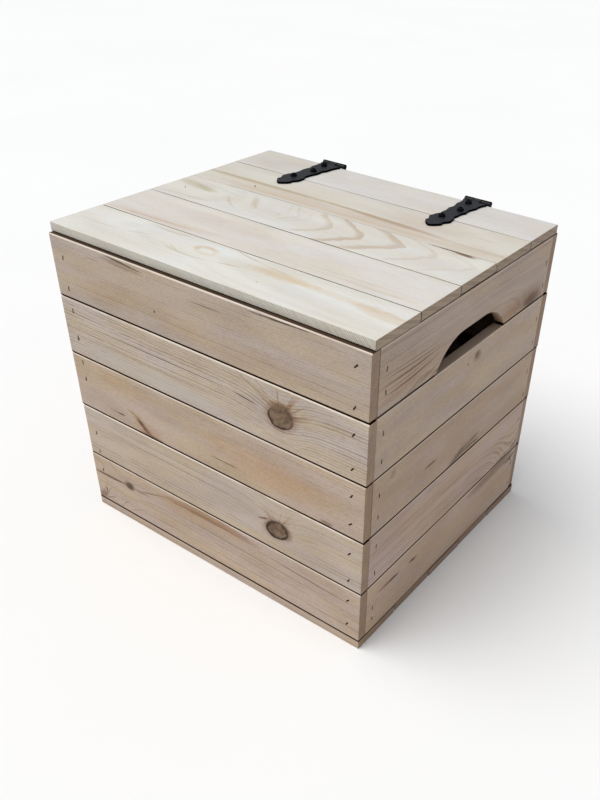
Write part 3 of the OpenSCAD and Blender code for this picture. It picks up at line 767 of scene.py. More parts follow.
# Looks of the boards that the camera sees, in millimetres: L and W from the middle of the board
LOOKS = {
    "lid_board_1": look(
        (14, 95), 8.0, slope=-0.03, wander=14, contrast=0.16, tint=(1.09, 1.12, 1.16), seams=(0, 0.9),
        marks=(
            stain(-36, 16, 21, 12, "tan", 0.55, ragged=0.9, soft=0.6, hollow=0.7),
            stain(-38, 24, 19, 5, "tan", 0.6, ragged=0.9),
            stain(-51, 17, 7, 9, "tan", 0.55, ragged=0.7),
            stain(-52, -8, 60, 1.9, "olive", 0.75, slope=-0.03, bend=0.0041, ragged=0.6),
            stain(-72, -2, 14, 1.5, "tan", 0.8, slope=-0.35),
            stain(12, 3, 24, 1.9, "band", 0.7, slope=0.22, bend=-0.002),
            stain(82, 17, 62, 12, "tan", 0.52, slope=0.02, ragged=1.3, soft=0.5),
            stain(150, 15, 118, 7.5, "tan", 0.4, slope=-0.03, ragged=1.2, soft=0.5),
            stain(222, 9, 52, 13, "tan", 0.55, slope=-0.1, ragged=1.3, soft=0.5),
            stain(16, 34, 36, 1.7, "band", 0.8, slope=-0.2, bend=0.002),
            stain(66, 26, 30, 1.4, "band", 0.5, slope=-0.12),
            stain(-112, 32, 44, 2.0, "band", 0.6, bend=0.004),
            stain(-200, -4, 48, 1.6, "olive", 0.6, bend=0.0008),
            stain(-138, 6, 20, 1.5, "olive", 0.6, slope=0.35, bend=-0.012),
            stain(-165, 17, 22, 12, "olive", 0.22, ragged=1.0),
            streak(68, -12, 1.6, 1.0, "knot", 0.8, ragged=0.1),
            stain(-75, -17, 60, 1.5, "olive", 0.3, bend=0.002),
        ),
    ),
    "lid_board_2": look(
        (-150, 60), 3.2, wander=6, contrast=0.2, tint=(1.04, 1.03, 1.05), seams=(0.9, 0.9),
        marks=(
            stain(-170, -33, 100, 1.8, "tan", 0.95, slope=0.03),
            stain(-190, -29, 70, 1.3, "band", 0.45, slope=0.03),
            stain(-160, -35, 120, 6, "rose", 0.9, slope=0.03),
            stain(-90, -27, 60, 1.5, "tan", 0.7, slope=0.06),
            stain(150, -20, 90, 1.2, "tan", 0.6, slope=0.02),
            stain(190, -31, 60, 2.2, "band", 0.35, slope=0.03),
            stain(-110, -24, 90, 1.3, "tan", 0.5, slope=0.05),
            stain(25, -18, 20, 1.2, "tan", 0.5),
            stain(110, -14, 22, 1.2, "tan", 0.5),
            stain(160, -29, 90, 1.3, "tan", 0.5, slope=0.02),
            stain(-100, 10, 160, 24, "rose", 0.35, ragged=0.6),
        ),
    ),
    "lid_board_3": look(
        (5, 140), 10.0, slope=0.12, wander=10, contrast=0.14, tint=(1.03, 1.04, 1.06), seams=(1.0, -0.9),
        marks=(
            stain(-212, 13, 52, 13, "olive", 0.75, slope=-0.12, ragged=0.9, soft=0.4),
            stain(-196, 10, 28, 7, "olive", 0.45, slope=-0.3, ragged=0.8, soft=0.5),
            stain(-168, 22, 60, 2.5, "olive", 0.35, slope=-0.15, bend=-0.001),
            stain(-104, 12, 17, 13, "band", 0.45, slope=-1.2, ragged=0.7, soft=0.1),
            stain(-108, 16, 24, 16, "olive", 0.35, slope=-1.0, ragged=0.9, soft=0.0),
            stain(-92, -1, 5, 3.5, "band", 0.5, slope=-0.5),
            stain(-132, -9, 26, 3.0, "olive", 0.6, slope=-0.8, bend=0.012),
            stain(-195, -28, 60, 2.0, "olive", 0.6, slope=0.08),
            stain(-60, -22, 60, 3, "olive", 0.25, slope=-0.12),
            streak(192, 39.8, 50, 2.3, "pitch", 0.95, ragged=0.5),
            mark(205, 37.5, 24, 4.8, "brown", 1.0, 0.15, slope=-0.1, ragged=0.8),
            streak(208, 37.5, 14, 2.6, "knot", 0.85, slope=-0.15, ragged=0.9),
            streak(-220, -4, 4.0, 1.2, "pitch", 0.9, slope=-1.1, ragged=0.1),
        ),
        flames=(
            flame(-46, 14, 0.5, 0.5, 4, "olive", 0.45, reach=24),
            flame(-27, 10, 0.6, 0.9, 4, "olive", 0.45, reach=34),
            flame(-8, 12, 0.9, 1.0, 3, "olive", 0.35, reach=30),
            flame(33, 3, 0.95, 1.1, 15, "band", 0.5, reach=44),
            flame(83, 3, 1.0, 1.6, 18, "band", 0.72, reach=56),
            flame(138, 12, 1.12, 2.0, 23, "band", 0.66, reach=62),
            flame(187, 14, 1.0, 2.6, 13, "band", 0.34, reach=60),
            flame(240, 8, 1.3, 2.4, 12, "olive", 0.3, reach=60),
        ),
    ),
    "lid_board_4": look(
        (-160, 40), 4.5, wander=9, contrast=0.18, swells=(((165, 20), (30, 14), 9),), tint=(0.98, 0.97, 0.95),
        seams=(-0.9, 1.0),
        marks=(
            stain(-130, -9, 210, 5.2, "band", 0.65, slope=-0.005, ragged=0.7, soft=0.5),
            stain(-170, -11, 140, 9, "olive", 0.5, ragged=0.9),
            stain(75, -15, 125, 7.5, "band", 0.8, slope=-0.055, ragged=0.6),
            stain(60, -13, 90, 3, "olive", 0.6, slope=-0.05, ragged=0.6),
            stain(215, -24, 70, 5, "band", 0.35, ragged=0.8),
            stain(0, -29, 320, 20, "rose", 0.75, slope=-0.01, ragged=0.3),
            stain(0, -34, 320, 3, "tan", 0.35, slope=0.01, ragged=0.6),
            stain(125, 8, 90, 36, "rose", 0.6, ragged=0.5),
            streak(-150, -24, 5.0, 1.5, "pitch", 0.95, slope=-0.7, ragged=0.1),
            stain(198, 11, 26, 2.4, "rose", 0.8, bend=-0.004),
            *[stain(148 + 6 * k, 33 - 3.5 * k, 9 + k, 0.9, "band", 0.65, slope=1.35 - 0.1 * k) for k in range(6)],
        ),
    ),
    "lid_board_5": look(
        (-190, 70), 4.0, wander=7, contrast=0.16, tint=(0.98, 0.98, 1.02), seams=(0.9, 0),
        marks=(stain(-190, 0, 90, 60, "olive", 0.35),),
    ),
    "front_board_1": look(
        (-130, 60), 3.1, slope=0.004, wander=9, contrast=0.5, dashes=0.8, tint=(0.95, 0.98, 0.99), arris=0.85,
        marks=(
            streak(-117, 36.6, 38, 1.8, "pitch", 0.85, slope=-0.08, bend=0.0002, ragged=0.9),
            stain(-120, 33, 46, 5, "brown", 0.4, slope=-0.06, ragged=1.2),
            streak(132, 38.6, 60, 1.8, "pitch", 0.9, slope=0.02, ragged=1.1),
            streak(18, 21.7, 32, 0.9, "pitch", 0.7, ragged=0.9),
            streak(-172, 27, 22, 0.8, "pitch", 0.45, ragged=0.9),
            streak(-68, -11, 2.0, 2.2, "pitch", 0.95, ragged=0.1),
            streak(-230, -29, 1.4, 2.4, "pitch", 0.8, ragged=0.4),
            stain(-150, -12, 80, 30, "warm", 0.85, ragged=1.1, soft=0.1),
            stain(60, -20, 170, 22, "warm", 0.7, ragged=1.1, soft=0.1),
        ),
    ),
    "front_board_2": look(
        (-140, 50), 3.8, wander=6, contrast=0.8, swells=(((127, 12), (40, 40), 15), ((127, -20), (30, 16), 6)),
        tint=(1.06, 1.13, 1.18), arris=0.95,
        marks=(
            streak(-90, -24, 190, 15, "pale", 0.6, ragged=0.6),
            streak(-229.5, 22.7, 1.6, 2.4, "pitch", 0.8, ragged=0.4),
            streak(-229, -16.6, 2.4, 3.6, "pitch", 0.95, slope=0.4, ragged=0.4),
            streak(-80, 10, 175, 1.0, "pitch", 0.7, bend=-4e-05, ragged=0.6),
            streak(72, 7, 24, 1.4, "pitch", 0.85, slope=-0.12, ragged=0.5),
            streak(-90, -8, 150, 0.8, "pitch", 0.4, ragged=0.6),
            streak(80, 30, 34, 1.0, "knot", 0.6, slope=-0.5, ragged=0.6),
            streak(96, 34, 24, 0.9, "knot", 0.5, slope=-0.9, ragged=0.6),
            streak(123, 30, 0.9, 12, "knot", 0.4, ragged=0.4),
            stain(127, 17, 22, 5, "brown", 0.55, ragged=1.2),
        ),
        knots=(knot(127, 1.5, 19.5, 16, rim=0.2, halo=0.95, seed=2.0, top=0.3, mottle=0.7),),
    ),
    "front_board_3": look(
        (-150, 80), 3.0, contrast=0.4, dashes=0.9, tint=(1.01, 1.0, 0.96), arris=0.65,
        marks=(
            stain(-110, -32, 40, 16, "peach", 0.9, ragged=0.8),
            streak(-229.5, 30, 1.7, 2.2, "pitch", 0.9, ragged=0.4),
            streak(-229.5, 4.8, 2.1, 2.8, "pitch", 0.9, slope=0.4, ragged=0.4),
            stain(-128, -22, 24, 13, "warm", 0.9, slope=-0.5, ragged=0.5, soft=0.1),
            stain(-127, -24, 15, 7.5, "brown", 0.55, slope=-0.7, ragged=0.6, soft=0.1),
            stain(-125, -25, 6.5, 4.5, "brown", 0.85, slope=-0.6, ragged=0.5, soft=0.1),
            stain(-122, -27, 12, 9, "brown", 0.6, slope=-0.9, ragged=0.9, soft=0.3),
            stain(-112, -34, 12, 7, "brown", 0.6, slope=-0.5, ragged=1.0, soft=0.3),
            stain(-142, -14, 12, 1.7, "brown", 0.6, slope=-0.25, ragged=0.6),
            stain(-116, -33, 9, 3.5, "brown", 0.6, slope=-0.6, ragged=0.7),
            stain(-106, -39, 30, 4.0, "brown", 0.6, slope=-0.03, ragged=0.9),
            mark(-96, -39.5, 24, 2.5, "knot", 0.55, 0.6, slope=-0.05, ragged=1.4),
            stain(-173, -25.5, 20, 1.1, "brown", 0.7, slope=-0.02, ragged=0.5),
            streak(-163, -26, 11, 1.9, "pitch", 0.85, ragged=0.6),
            streak(30, -21, 33, 1.2, "pitch", 0.75, ragged=0.8),
            stain(195, -37, 14, 4, "brown", 0.7, ragged=1.0),
            stain(110, -6, 170, 36, "peach", 0.9, ragged=1.1, soft=0.1),
            stain(60, 10, 150, 22, "warm", 0.5, ragged=1.2, soft=0.1),
            stain(-150, 22, 70, 18, "warm", 0.75, ragged=1.0),
        ),
    ),
    "front_board_4": look(
        (-150, 40), 4.0, wander=7, swells=(((115, 10), (44, 36), 15),), tint=(1.04, 1.09, 1.1), arris=1.0,
        marks=(
            streak(-80, 24, 150, 0.9, "pitch", 0.45, bend=-5e-05, ragged=0.6),
            streak(-60, 12, 160, 0.9, "pitch", 0.45, bend=-6e-05, ragged=0.6),
            stain(92, 3, 12, 2.6, "brown", 0.9, slope=0.35, ragged=0.6),
            stain(128, -5, 14, 15, "brown", 0.55, ragged=0.4, soft=0.5),
            stain(102, -6, 12, 13, "brown", 0.35, ragged=0.4, soft=0.5),
        ),
        knots=(knot(114.6, -6, 19.2, 15, rim=0.3, halo=0.6, seed=5.0, top=0.95, mottle=0.6),),
    ),
    "front_board_5": look(
        (-110, 70), 4.2, contrast=0.45, swells=(((-173, 12), (34, 22), 11),), tint=(1.0, 0.99, 0.99), arris=0.55,
        marks=(
            stain(-20, 20, 140, 16, "warm", 0.6, ragged=0.8),
            stain(-10, 34, 105, 8.5, "band", 0.95, bend=-0.0006, ragged=0.7, soft=0.6),
            stain(-10, 31, 80, 3.5, "brown", 0.35, bend=-0.0008, ragged=0.9),
            stain(-125, 20, 38, 1.8, "brown", 0.7, slope=0.3, ragged=0.6),
            stain(165, 19.5, 100, 1.5, "brown", 0.8, slope=-0.035, bend=8e-05, ragged=0.5),
            stain(50, 7.5, 205, 1.1, "brown", 0.65, slope=-0.012, ragged=0.5),
            streak(-222, 9.5, 38, 1.9, "pitch", 0.8, slope=0.03, ragged=0.7),
            stain(-222, 10, 40, 5, "brown", 0.5, slope=0.03, ragged=0.7),
            stain(-150, 12, 24, 3, "brown", 0.6, slope=-0.03, ragged=0.8),
            stain(-194, 10.8, 18, 2.6, "brown", 0.9, slope=0.05, ragged=0.6),
            streak(-230, 17.2, 1.9, 2.4, "pitch", 0.9, ragged=0.4),
            streak(-230, -19.9, 1.3, 2.2, "pitch", 0.8, ragged=0.4),
            stain(-173, 12.3, 15, 10, "brown", 0.75, ragged=0.9),
            streak(-173, 12.3, 12, 10, "pitch", 0.74, ragged=0.8, soft=0.3),
            stain(-235, 30, 16, 1.5, "brown", 0.5, slope=-0.6),
            stain(-205, 32, 16, 1.4, "brown", 0.5, slope=-0.8),
            stain(-228, -24, 14, 1.2, "brown", 0.8, slope=1.1, ragged=0.4),
            stain(-233, -18, 16, 1.2, "brown", 0.8, slope=1.8, ragged=0.4),
            stain(-222, -32, 16, 1.2, "brown", 0.8, slope=0.45, ragged=0.4),
            stain(-240, -33, 16, 10, "brown", 0.7, slope=0.4, ragged=1.4),
            stain(-190, -28, 14, 1.2, "brown", 0.7, slope=1.0, bend=-0.03, ragged=0.4),
            stain(-165, -30, 22, 1.2, "brown", 0.5, slope=0.5, ragged=0.5),
        ),
    ),
    "right_side_board_1": look(
        (-70, 60), 7.0, wander=10, swells=(((160, -40), (50, 34), 26), ((-110, -26), (40, 14), -6)),
        tint=(0.93, 0.94, 0.94), seams=(0.9, 1),
        marks=(
            stain(-140, 3, 80, 1.0, "brown", 0.75, slope=-0.02, bend=0.0004),
            stain(-132, -2.5, 72, 1.3, "brown", 0.9, slope=-0.03, bend=0.0005),
            stain(-136, -9, 74, 1.8, "brown", 0.9, slope=0.01, bend=0.0006),
            stain(-150, -15, 60, 1.2, "brown", 0.6, slope=0.03, bend=0.0006),
            stain(-136, -20, 70, 2.0, "brown", 0.95, slope=0.06, bend=0.0008),
            stain(-98, -31, 28, 1.5, "brown", 0.7, slope=0.25, bend=-0.003),
            stain(-84, -36, 18, 2.0, "brown", 0.6, slope=0.4),
            stain(-160, -27, 66, 6, "rose", 1.0, slope=0.05, ragged=0.8),
            stain(95, -31, 46, 20, "peach", 1.0, ragged=0.8, deep=30),
            stain(100, -33, 40, 12, "brown", 0.25, ragged=1.0, deep=30),
            stain(150, -28, 62, 24, "brown", 0.35, ragged=0.8, deep=30),
            stain(162, -33, 36, 15, "brown", 0.8, slope=-0.05, ragged=0.6, deep=30),
            stain(156, -34, 22, 8, "brown", 0.5, slope=-0.05, ragged=0.8, deep=30),
        ),
    ),
    "right_side_board_2": look(
        (-150, 90), 3.6, wander=7, contrast=0.3, tint=(1.0, 1.02, 1.01), seams=(0.9, 1),
        marks=(
            streak(20, 27, 8.5, 7.5, "knot", 0.85, ragged=0.5),
            stain(22, 24, 14, 10, "brown", 0.45, ragged=0.9),
            streak(-2, 22, 3, 1.6, "pitch", 0.8, ragged=0.3),
        ),
    ),
    "right_side_board_3": look(
        (-140, 70), 3.4, contrast=0.36, dashes=0.8, tint=(0.96, 0.94, 0.91),
        marks=(
            streak(-70, -6.5, 21, 3.0, "knot", 0.9, bend=-0.004, ragged=0.5),
            streak(-72, -6.8, 20, 1.2, "pitch", 0.6, bend=-0.004, ragged=0.5),
            stain(18, -32, 52, 13, "brown", 0.55, slope=0.05, ragged=1.0, soft=0.2),
            streak(-5, -36, 30, 4.5, "pitch", 0.6, slope=0.16, ragged=1.0, soft=0.2),
            streak(8, -30, 20, 4, "pitch", 0.6, slope=0.1, ragged=1.2, soft=0.2),
            streak(30, -34, 30, 2.4, "pitch", 0.5, slope=0.03, ragged=1.0),
            streak(44, -26, 22, 1.8, "pitch", 0.7, slope=0.1, ragged=0.8),
            streak(50, -35, 16, 2.4, "pitch", 0.6, ragged=1.0),
            streak(30, -40, 60, 1.5, "pitch", 0.7, ragged=1.2),
            stain(-160, 30, 8, 8, "brown", 0.35, ragged=0.8),
        ),
    ),
    "right_side_board_4": look(
        (-120, 60), 4.6, slope=0.01, contrast=0.9, swells=(((175, -62), (62, 58), 46),), tint=(1.07, 1.06, 1.11),
        marks=(
            stain(-20, 6.5, 80, 1.1, "brown", 0.85, ragged=0.6),
            stain(-120, 16, 70, 0.9, "brown", 0.6, ragged=0.6),
            streak(186, -32, 12, 6, "pitch", 0.6, ragged=1.4, soft=0.1),
            streak(150, -39.5, 56, 3.0, "pitch", 0.5, ragged=1.6, soft=0.1),
            stain(160, -36, 40, 5, "brown", 0.5, ragged=1.4),
        ),
    ),
    "right_side_board_5": look(
        (-130, 60), 3.4, wander=9, contrast=0.3, tint=(1.07, 1.04, 1.01),
        marks=(
            streak(-140, 17, 15, 2.6, "pitch", 0.85, ragged=1.0),
            stain(-152, 17.5, 34, 3.6, "brown", 0.85, ragged=0.8),
            streak(-94, 15, 9, 2.4, "pitch", 0.85, slope=-0.2, ragged=0.9),
            stain(-94, 15.5, 16, 4, "brown", 0.6, ragged=0.8),
            streak(184, 28, 20, 3.2, "pitch", 0.9, slope=0.3, ragged=0.9),
            streak(176, 30, 18, 2.0, "pitch", 0.8, slope=0.1, ragged=0.9),
            streak(188, 23, 7, 2.0, "pitch", 0.8, slope=-0.8, ragged=0.6),
            stain(120, 33, 90, 12, "brown", 0.6, ragged=1.2),
            streak(150, 39, 70, 3.5, "pitch", 0.5, ragged=1.6),
        ),
    ),
}

BOARDS = 5
# Radius of a hand hole's edges
HOLE_ROUND = 1.2 * MM
NODE_NAMES = {"front": "front_board", "back": "back_board", "left": "left_side_board", "right": "right_side_board"}
KNOT_CHANCE = 0.45


def plain_look(seed, lid=False):
    """A look for a board that the camera doesn't see, drawn at random, sometimes with a knot."""
    rng = np.random.default_rng(seed)
    pith = (rng.choice((-1, 1)) * rng.uniform(20, 160), rng.uniform(45, 110))
    knots, swells = (), ()
    if rng.random() < KNOT_CHANCE and not lid:
        place = (rng.uniform(-170, 170), rng.uniform(-22, 22))
        size = rng.uniform(8, 18)
        knots = (knot(*place, size * 1.2, size, rng.uniform(0.12, 0.28), seed=float(seed)),)
        swells = ((place, (size * 2.4, size * 2.2), size * 0.9),)
    blotch = (rng.uniform(-150, 150), rng.uniform(-25, 25), rng.uniform(60, 120), 22)
    line = (rng.uniform(-180, 180), rng.uniform(-30, 30), rng.uniform(15, 40), 1.0)
    marks = (stain(*blotch, "warm", 0.7, ragged=1.0), streak(*line, "pitch", 0.5, ragged=0.8))
    return look(pith, rng.uniform(3.0, 5.0), contrast=0.42, dashes=0.6, swells=swells, marks=marks, knots=knots)


# ---------------------------------------------------------------- materials

# Tints of painted shade (seams, the top boards' upper sides, the strip below the lid's front edge, staple pockets), of
# painted light that hides tight seams, and of sawn ends and the lid's sawn edges
SEAM_SHADE = (0.05, 0.018, 0.004, 1.0)
TOP_SHADE = (0.27, 0.21, 0.16, 1.0)
RIM_SHADE = (0.14, 0.095, 0.065, 1.0)
POCKET_SHADE = (0.22, 0.16, 0.11, 1.0)
SEAM_LIGHT = (1.0, 0.97, 0.92, 1.0)
LID_END = (0.68, 0.62, 0.55, 1.0)
END_DARK = (0.5, 0.41, 0.34, 1.0)
END_PALE = (0.78, 0.68, 0.6, 1.0)
EDGE_DARK = (0.58, 0.55, 0.5, 1.0)
EDGE_PALE = (0.9, 0.87, 0.82, 1.0)
# Lid boards whose ends get no painted shade under them
FLUSH_ENDS = ("lid_board_1", "lid_board_2")
# How much calmer the lid's specks and clouds are
LID_SPECKS, LID_CLOUDS = 0.35, 0.4
# How far the hand hole's ends lie from the middle of its board, where shade stops at the board below and in its own
HOLE_BELOW, HOLE_BESIDE = (82.0, 84.0), (88.0, 90.0)
WOOD_GLOSS = 0.3
# Strength and depth of the bumps of wood and of metal, whose depth differs
WOOD_RELIEF, METAL_RELIEF = (0.55, 0.4 * MM), 0.6
# Worn metal is its own tone times the first number plus the second; a plate's sides get painted shade, this share of
# its tone
METAL_WORN = (1.9, 0.004)
PLATE_SIDE_SHADE = 0.12


class WoodGraph(Graph):
    """The node tree of one board, with masks by distance: each is 0 at start and 1 at end, in millimetres."""

    def __init__(self, tree, node, facing):
        """Millimetre coordinates of the board: L and W from its middle, T from its face, through one Mapping node."""
        super().__init__(tree)
        middle, turn, size = board_frame(node, facing)
        moved_by = -(turn.T @ middle) - np.array((0, 0, size[2] / 2))
        place = self.add("ShaderNodeTexCoord").outputs["Object"]
        mapping = self.add("ShaderNodeMapping", place, tuple(moved_by / MM), vector_type="POINT")
        mapping.inputs["Rotation"].default_value = Matrix(turn.T.tolist()).to_euler("XYZ")
        mapping.inputs["Scale"].default_value = (1 / MM,) * 3
        self.node, self.facing = node, facing
        self.on_side = facing in SIDES
        self.board = mapping.outputs[0]
        self.along, self.across, self.out = self.split(self.board)
        self.half_length, self.half_width = size[:2] / MM / 2
        self.thickness = size[2] / MM

    def near_end(self, start, end):
        return self.ramp(self.absolute(self.along), self.half_length - start, self.half_length - end)

    def near_edge(self, start, end, way=0):
        """Near both edges, or near the upper (1) or lower (-1) one alone."""
        away = self.product(self.across, way) if way else self.absolute(self.across)
        return self.ramp(away, self.half_width - start, self.half_width - end)

    def near_back(self, start, end):
        return self.ramp(self.out, start - self.thickness, end - self.thickness)

    def beside_hole(self, distances):
        return self.ramp(self.absolute(self.along), *distances)


def sawn_ends(g, tone):
    """Sawn end grain, and the mask of both ends."""
    at_end = g.near_end(0.9, 0.35)
    if g.on_side:
        at_end = g.product(at_end, g.ramp(g.out, -0.3, -0.8))
    place = g.join(g.times_plus(g.across, 0.35, g.out), g.product(g.along, 0.02))
    saw = g.noise(place, (0.9, 1.0, 1.0), 3.0, 2.0)
    if g.facing == "lid":
        ends = g.times(g.mix(g.ramp(saw, 0.3, 0.7), END_DARK, END_PALE), LID_END)
    else:
        ends = g.mix(saw, END_DARK, END_PALE)
    return g.shade(at_end, tone, ends), at_end


def lid_edges(g, tone, height, at_end):
    """The saw's teeth on a lid board's long edges, and painted shade along the dark line under it."""
    at_edge = g.near_edge(0.7, 0.2)
    saw_line = g.total(g.along, g.out)
    blur = g.noise(g.join(saw_line), (0.25, 1.0, 1.0), 9.0, 2.0)
    wave = g.math("SINE", g.times_plus(saw_line, 1.9, g.product(blur, 7.0)))
    teeth = g.times_plus(wave, 0.5, 0.5)
    tone = g.shade(at_edge, tone, g.mix(teeth, EDGE_DARK, EDGE_PALE))
    sides = at_edge if g.node in FLUSH_ENDS else g.math("MAXIMUM", at_edge, at_end)
    # Painted shade along the edges of the lid's underside
    tone = g.shade(g.product(g.near_back(1.3, 0.8), sides), tone, SEAM_SHADE)
    return tone, g.total(height, g.product(teeth, at_edge, 1.5))


def upper_edge(g, tone, arris, seed):
    """Painted highlight on an upright board's upper edge; the top one's upper side gets painted shade, most of all
    below the lid.
    """
    if g.node.endswith("_1") and g.facing in NODE_NAMES:
        # Painted shade under the lid, darkest on the front in the strip just below the lid's front edge
        upper = g.product(g.near_edge(0.9, 0.4, 1), g.ramp(g.out, -0.7, -1.3))
        under_lid = g.ramp(g.out, -4.4, -6.0) if g.facing == "front" else 1.0
        tone = g.shade(upper, tone, g.mix(under_lid, RIM_SHADE, TOP_SHADE))
    # How strong the painted highlight is, patchy along the edge
    worn = g.ramp(g.noise(g.board, (0.02, 0.0, 0.0), seed + 3.0, 2.0), 0.3, 0.5, 0.35, 1.0)
    painted_highlight = g.product(g.near_edge(2.6, 1.4, 1), g.ramp(g.out, -1.0, -0.5), worn, arris)
    return g.mix(painted_highlight, tone, rgba(bpy.context.scene.kindling_pine.arris))


def seam_edges(node, facing):
    """Edges of a board that face another piece: -1 for its low edge across, 1 for its high one."""
    if facing not in ("lid", *NODE_NAMES):
        return ()
    free = {1: -1, BOARDS: 1} if facing == "lid" else {1: 1}
    return [edge for edge in (-1, 1) if edge != free.get(int(node[-1]))]


def seams(g, tone, darkness):
    """Painted shade on the edges in the seams or painted light over tight ones, and the gloss, which goes where a seam
    is dark.
    """
    gloss = WOOD_GLOSS
    for edge in seam_edges(g.node, g.facing):
        if edge < 0 and g.facing != "lid":
            in_seam = g.near_edge(2.2, 1.6, -1)
        else:
            in_seam = g.product(g.near_edge(0.8, 0.4, edge), g.ramp(g.out, -0.45, -0.9))
        if edge > 0 and g.on_side and g.node.endswith("_2"):
            in_seam = g.product(in_seam, g.beside_hole(HOLE_BELOW))
        strength = darkness[edge > 0]
        in_seam = g.product(in_seam, g.near_back(1.0, 2.0), abs(strength))
        # A negative strength paints light over the seam's own shade; a positive one paints shade into the seam
        if strength < 0:
            tone = g.mix(g.product(in_seam, g.near_end(1.5, 4.0)), tone, SEAM_LIGHT)
        else:
            tone = g.shade(in_seam, tone, SEAM_SHADE)
            gloss = g.product(gloss, g.math("SUBTRACT", 1.0, in_seam))
    return tone, gloss


def pocket_shade(g, tone):
    """Shade inside the staples' pockets: below the face, and away from the board's edges, ends and back."""
    inner = g.product(g.near_edge(1.6, 2.2), g.ramp(g.out, -0.52, -0.85), g.near_end(1.2, 1.6), g.near_back(0.6, 1.2))
    if g.on_side and g.node.endswith("_1"):
        inner = g.product(inner, g.beside_hole(HOLE_BESIDE))
    return g.shade(inner, tone, POCKET_SHADE)


def pine_material(node, facing, seed):
    """Pine cut from its own place in a tree, with its stains, knots, sawn ends and edges."""
    pine = bpy.context.scene.kindling_pine
    groups = {name: bpy.data.node_groups.get(name) or make() for name, make in WOOD_GROUPS.items()}
    on_lid = facing == "lid"
    wood_cut = LOOKS.get(node) or plain_look(seed, on_lid)
    seed = float(seed)
    calm, specks = (LID_CLOUDS, LID_SPECKS) if on_lid else (1.0, 1.0)
    early, late = (pine.lid_early, pine.lid_late) if on_lid else (pine.wall_early, pine.wall_late)
    # The side walls get a browner tint that is partly painted shade
    if facing in SIDES:
        early, late = tinted(early, pine.side_tint_and_shade), tinted(late, pine.side_tint_and_shade)
    material = bpy.data.materials.new(f"pine_{node}")
    g = WoodGraph(blank_tree(material), node, facing)
    pith = (0.0, wood_cut["pith"][0], -wood_cut["pith"][1])
    slope, wander = wood_cut["slope"], wood_cut["wander"]
    depth = g.use(groups["Ring Field"], Board=g.board, Pith=pith, Slope=slope, Wander=wander, Seed=seed)["Depth"]
    for centre, spread, amount in wood_cut["swells"]:
        oval = {"Centre": (*centre, 0.0), "Size": (*spread, 1.0)}
        depth = g.use(groups["Swell"], Depth=depth, Board=g.board, Amount=amount, **oval)["Depth"]
    wood = g.use(
        groups["Pine"],
        Board=g.board,
        Depth=depth,
        Spacing=wood_cut["spacing"],
        Start=wood_cut["start"],
        Early=tinted(early, wood_cut["tint"]),
        Late=tinted(late, wood_cut["tint"]),
        Contrast=wood_cut["contrast"] * pine.grain,
        Dashes=wood_cut["dashes"],
        Specks=pine.speck * specks,
        Cool=rgba([1 - (1 - part) * calm for part in pine.cool]),
        Sunny=rgba([1 - (1 - part) * calm for part in pine.sunny]),
        Seed=seed,
    )
    tone, height = wood["Colour"], wood["Height"]
    for group, spots in (("Mark", wood_cut["marks"]), ("Flame", wood_cut["flames"])):
        for spot in spots:
            spot = {**spot, "Tint": rgba(getattr(pine, spot["Tint"]))}
            tone = g.use(groups[group], Colour=tone, Board=g.board, **spot)["Colour"]
    for spot in wood_cut["knots"]:
        heart = g.use(groups["Knot"], Colour=tone, Board=g.board, Heart=rgba(pine.knot), Rim=rgba(pine.bark), **spot)
        tone, height = heart["Colour"], g.total(height, heart["Height"])
    tone, at_end = sawn_ends(g, tone)
    if on_lid:
        tone, height = lid_edges(g, tone, height, at_end)
    elif facing == "base":
        # Painted shade along the base boards' top side, where the walls stand on them
        tone = g.shade(g.near_back(1.5, 0.7), tone, SEAM_SHADE)
    else:
        tone = upper_edge(g, tone, wood_cut["arris"], seed)
    tone, gloss = seams(g, tone, wood_cut["seams"])
    if facing not in ("post", "batten"):
        tone = pocket_shade(g, tone)
    rough = g.times_plus(wood["Late"], -0.1, g.ramp(height, -0.5, 1.0, 0.7, 0.56))
    g.surface({"Base Color": tone, "Roughness": rough, "Specular IOR Level": gloss}, height, *WOOD_RELIEF)
    return material


def metal_material(name, tone, rough, dents, metallic=0.0, shine=0.3, face=None):
    """Coated or bare metal: a tone that varies a little, worn lighter here and there, over fine dents.

    Face is the axis that a plate's two faces look along; its other sides get painted shade, much darker."""
    material = bpy.data.materials.new(name)
    g = Graph(blank_tree(material))
    texture = g.add("ShaderNodeTexCoord")
    place = g.scaled(texture.outputs["Object"], 1 / MM)
    cloud = g.noise(place, (0.12, 0.12, 0.12), 2.0, 4.0, 0.6)
    fine = g.noise(place, (1.1, 1.1, 1.1), 5.0, 2.0)
    relief = g.times_plus(fine, 0.35, g.noise(place, (0.22, 0.22, 0.22), 1.0, 1.0))
    pale = [min(1.0, part * METAL_WORN[0] + METAL_WORN[1]) for part in tone]
    colour_out = g.mix(g.ramp(cloud, 0.35, 0.75), rgba(tone), rgba(pale))
    roughness = g.times_plus(fine, 0.16, g.ramp(cloud, 0.3, 0.7, rough - 0.1, rough + 0.04))
    if face is not None:
        # Painted shade on the plate's sides, which also lose their gloss
        flat = g.ramp(g.absolute(g.split(texture.outputs["Normal"])[face]), 0.35, 0.8)
        colour_out = g.mix(flat, g.scaled(colour_out, PLATE_SIDE_SHADE), colour_out)
        shine = g.product(flat, shine)
    sockets = {"Base Color": colour_out, "Roughness": roughness, "Metallic": metallic, "Specular IOR Level": shine}
    g.surface(sockets, relief, METAL_RELIEF, dents)
    return material


# ---------------------------------------------------------------- wooden pieces


def pockets_in(node, staple_node):
    """Corners and faces of the pockets that a staple set makes in a board, as one mesh, or None."""
    outward = FACINGS[STAPLE_SETS[staple_node][0]][2]
    play = bpy.context.scene.kindling_board.pocket
    low, high = (np.array(corner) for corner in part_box(node))
    pockets = Shape()
    for place, side in staple_places(staple_node, outward):
        if np.all(place > low - MM) and np.all(place < high + MM):
            pockets.add(pocket_points(place, side, outward, play), CUBE_FACES)
    return pockets.whole() if pockets.count else None


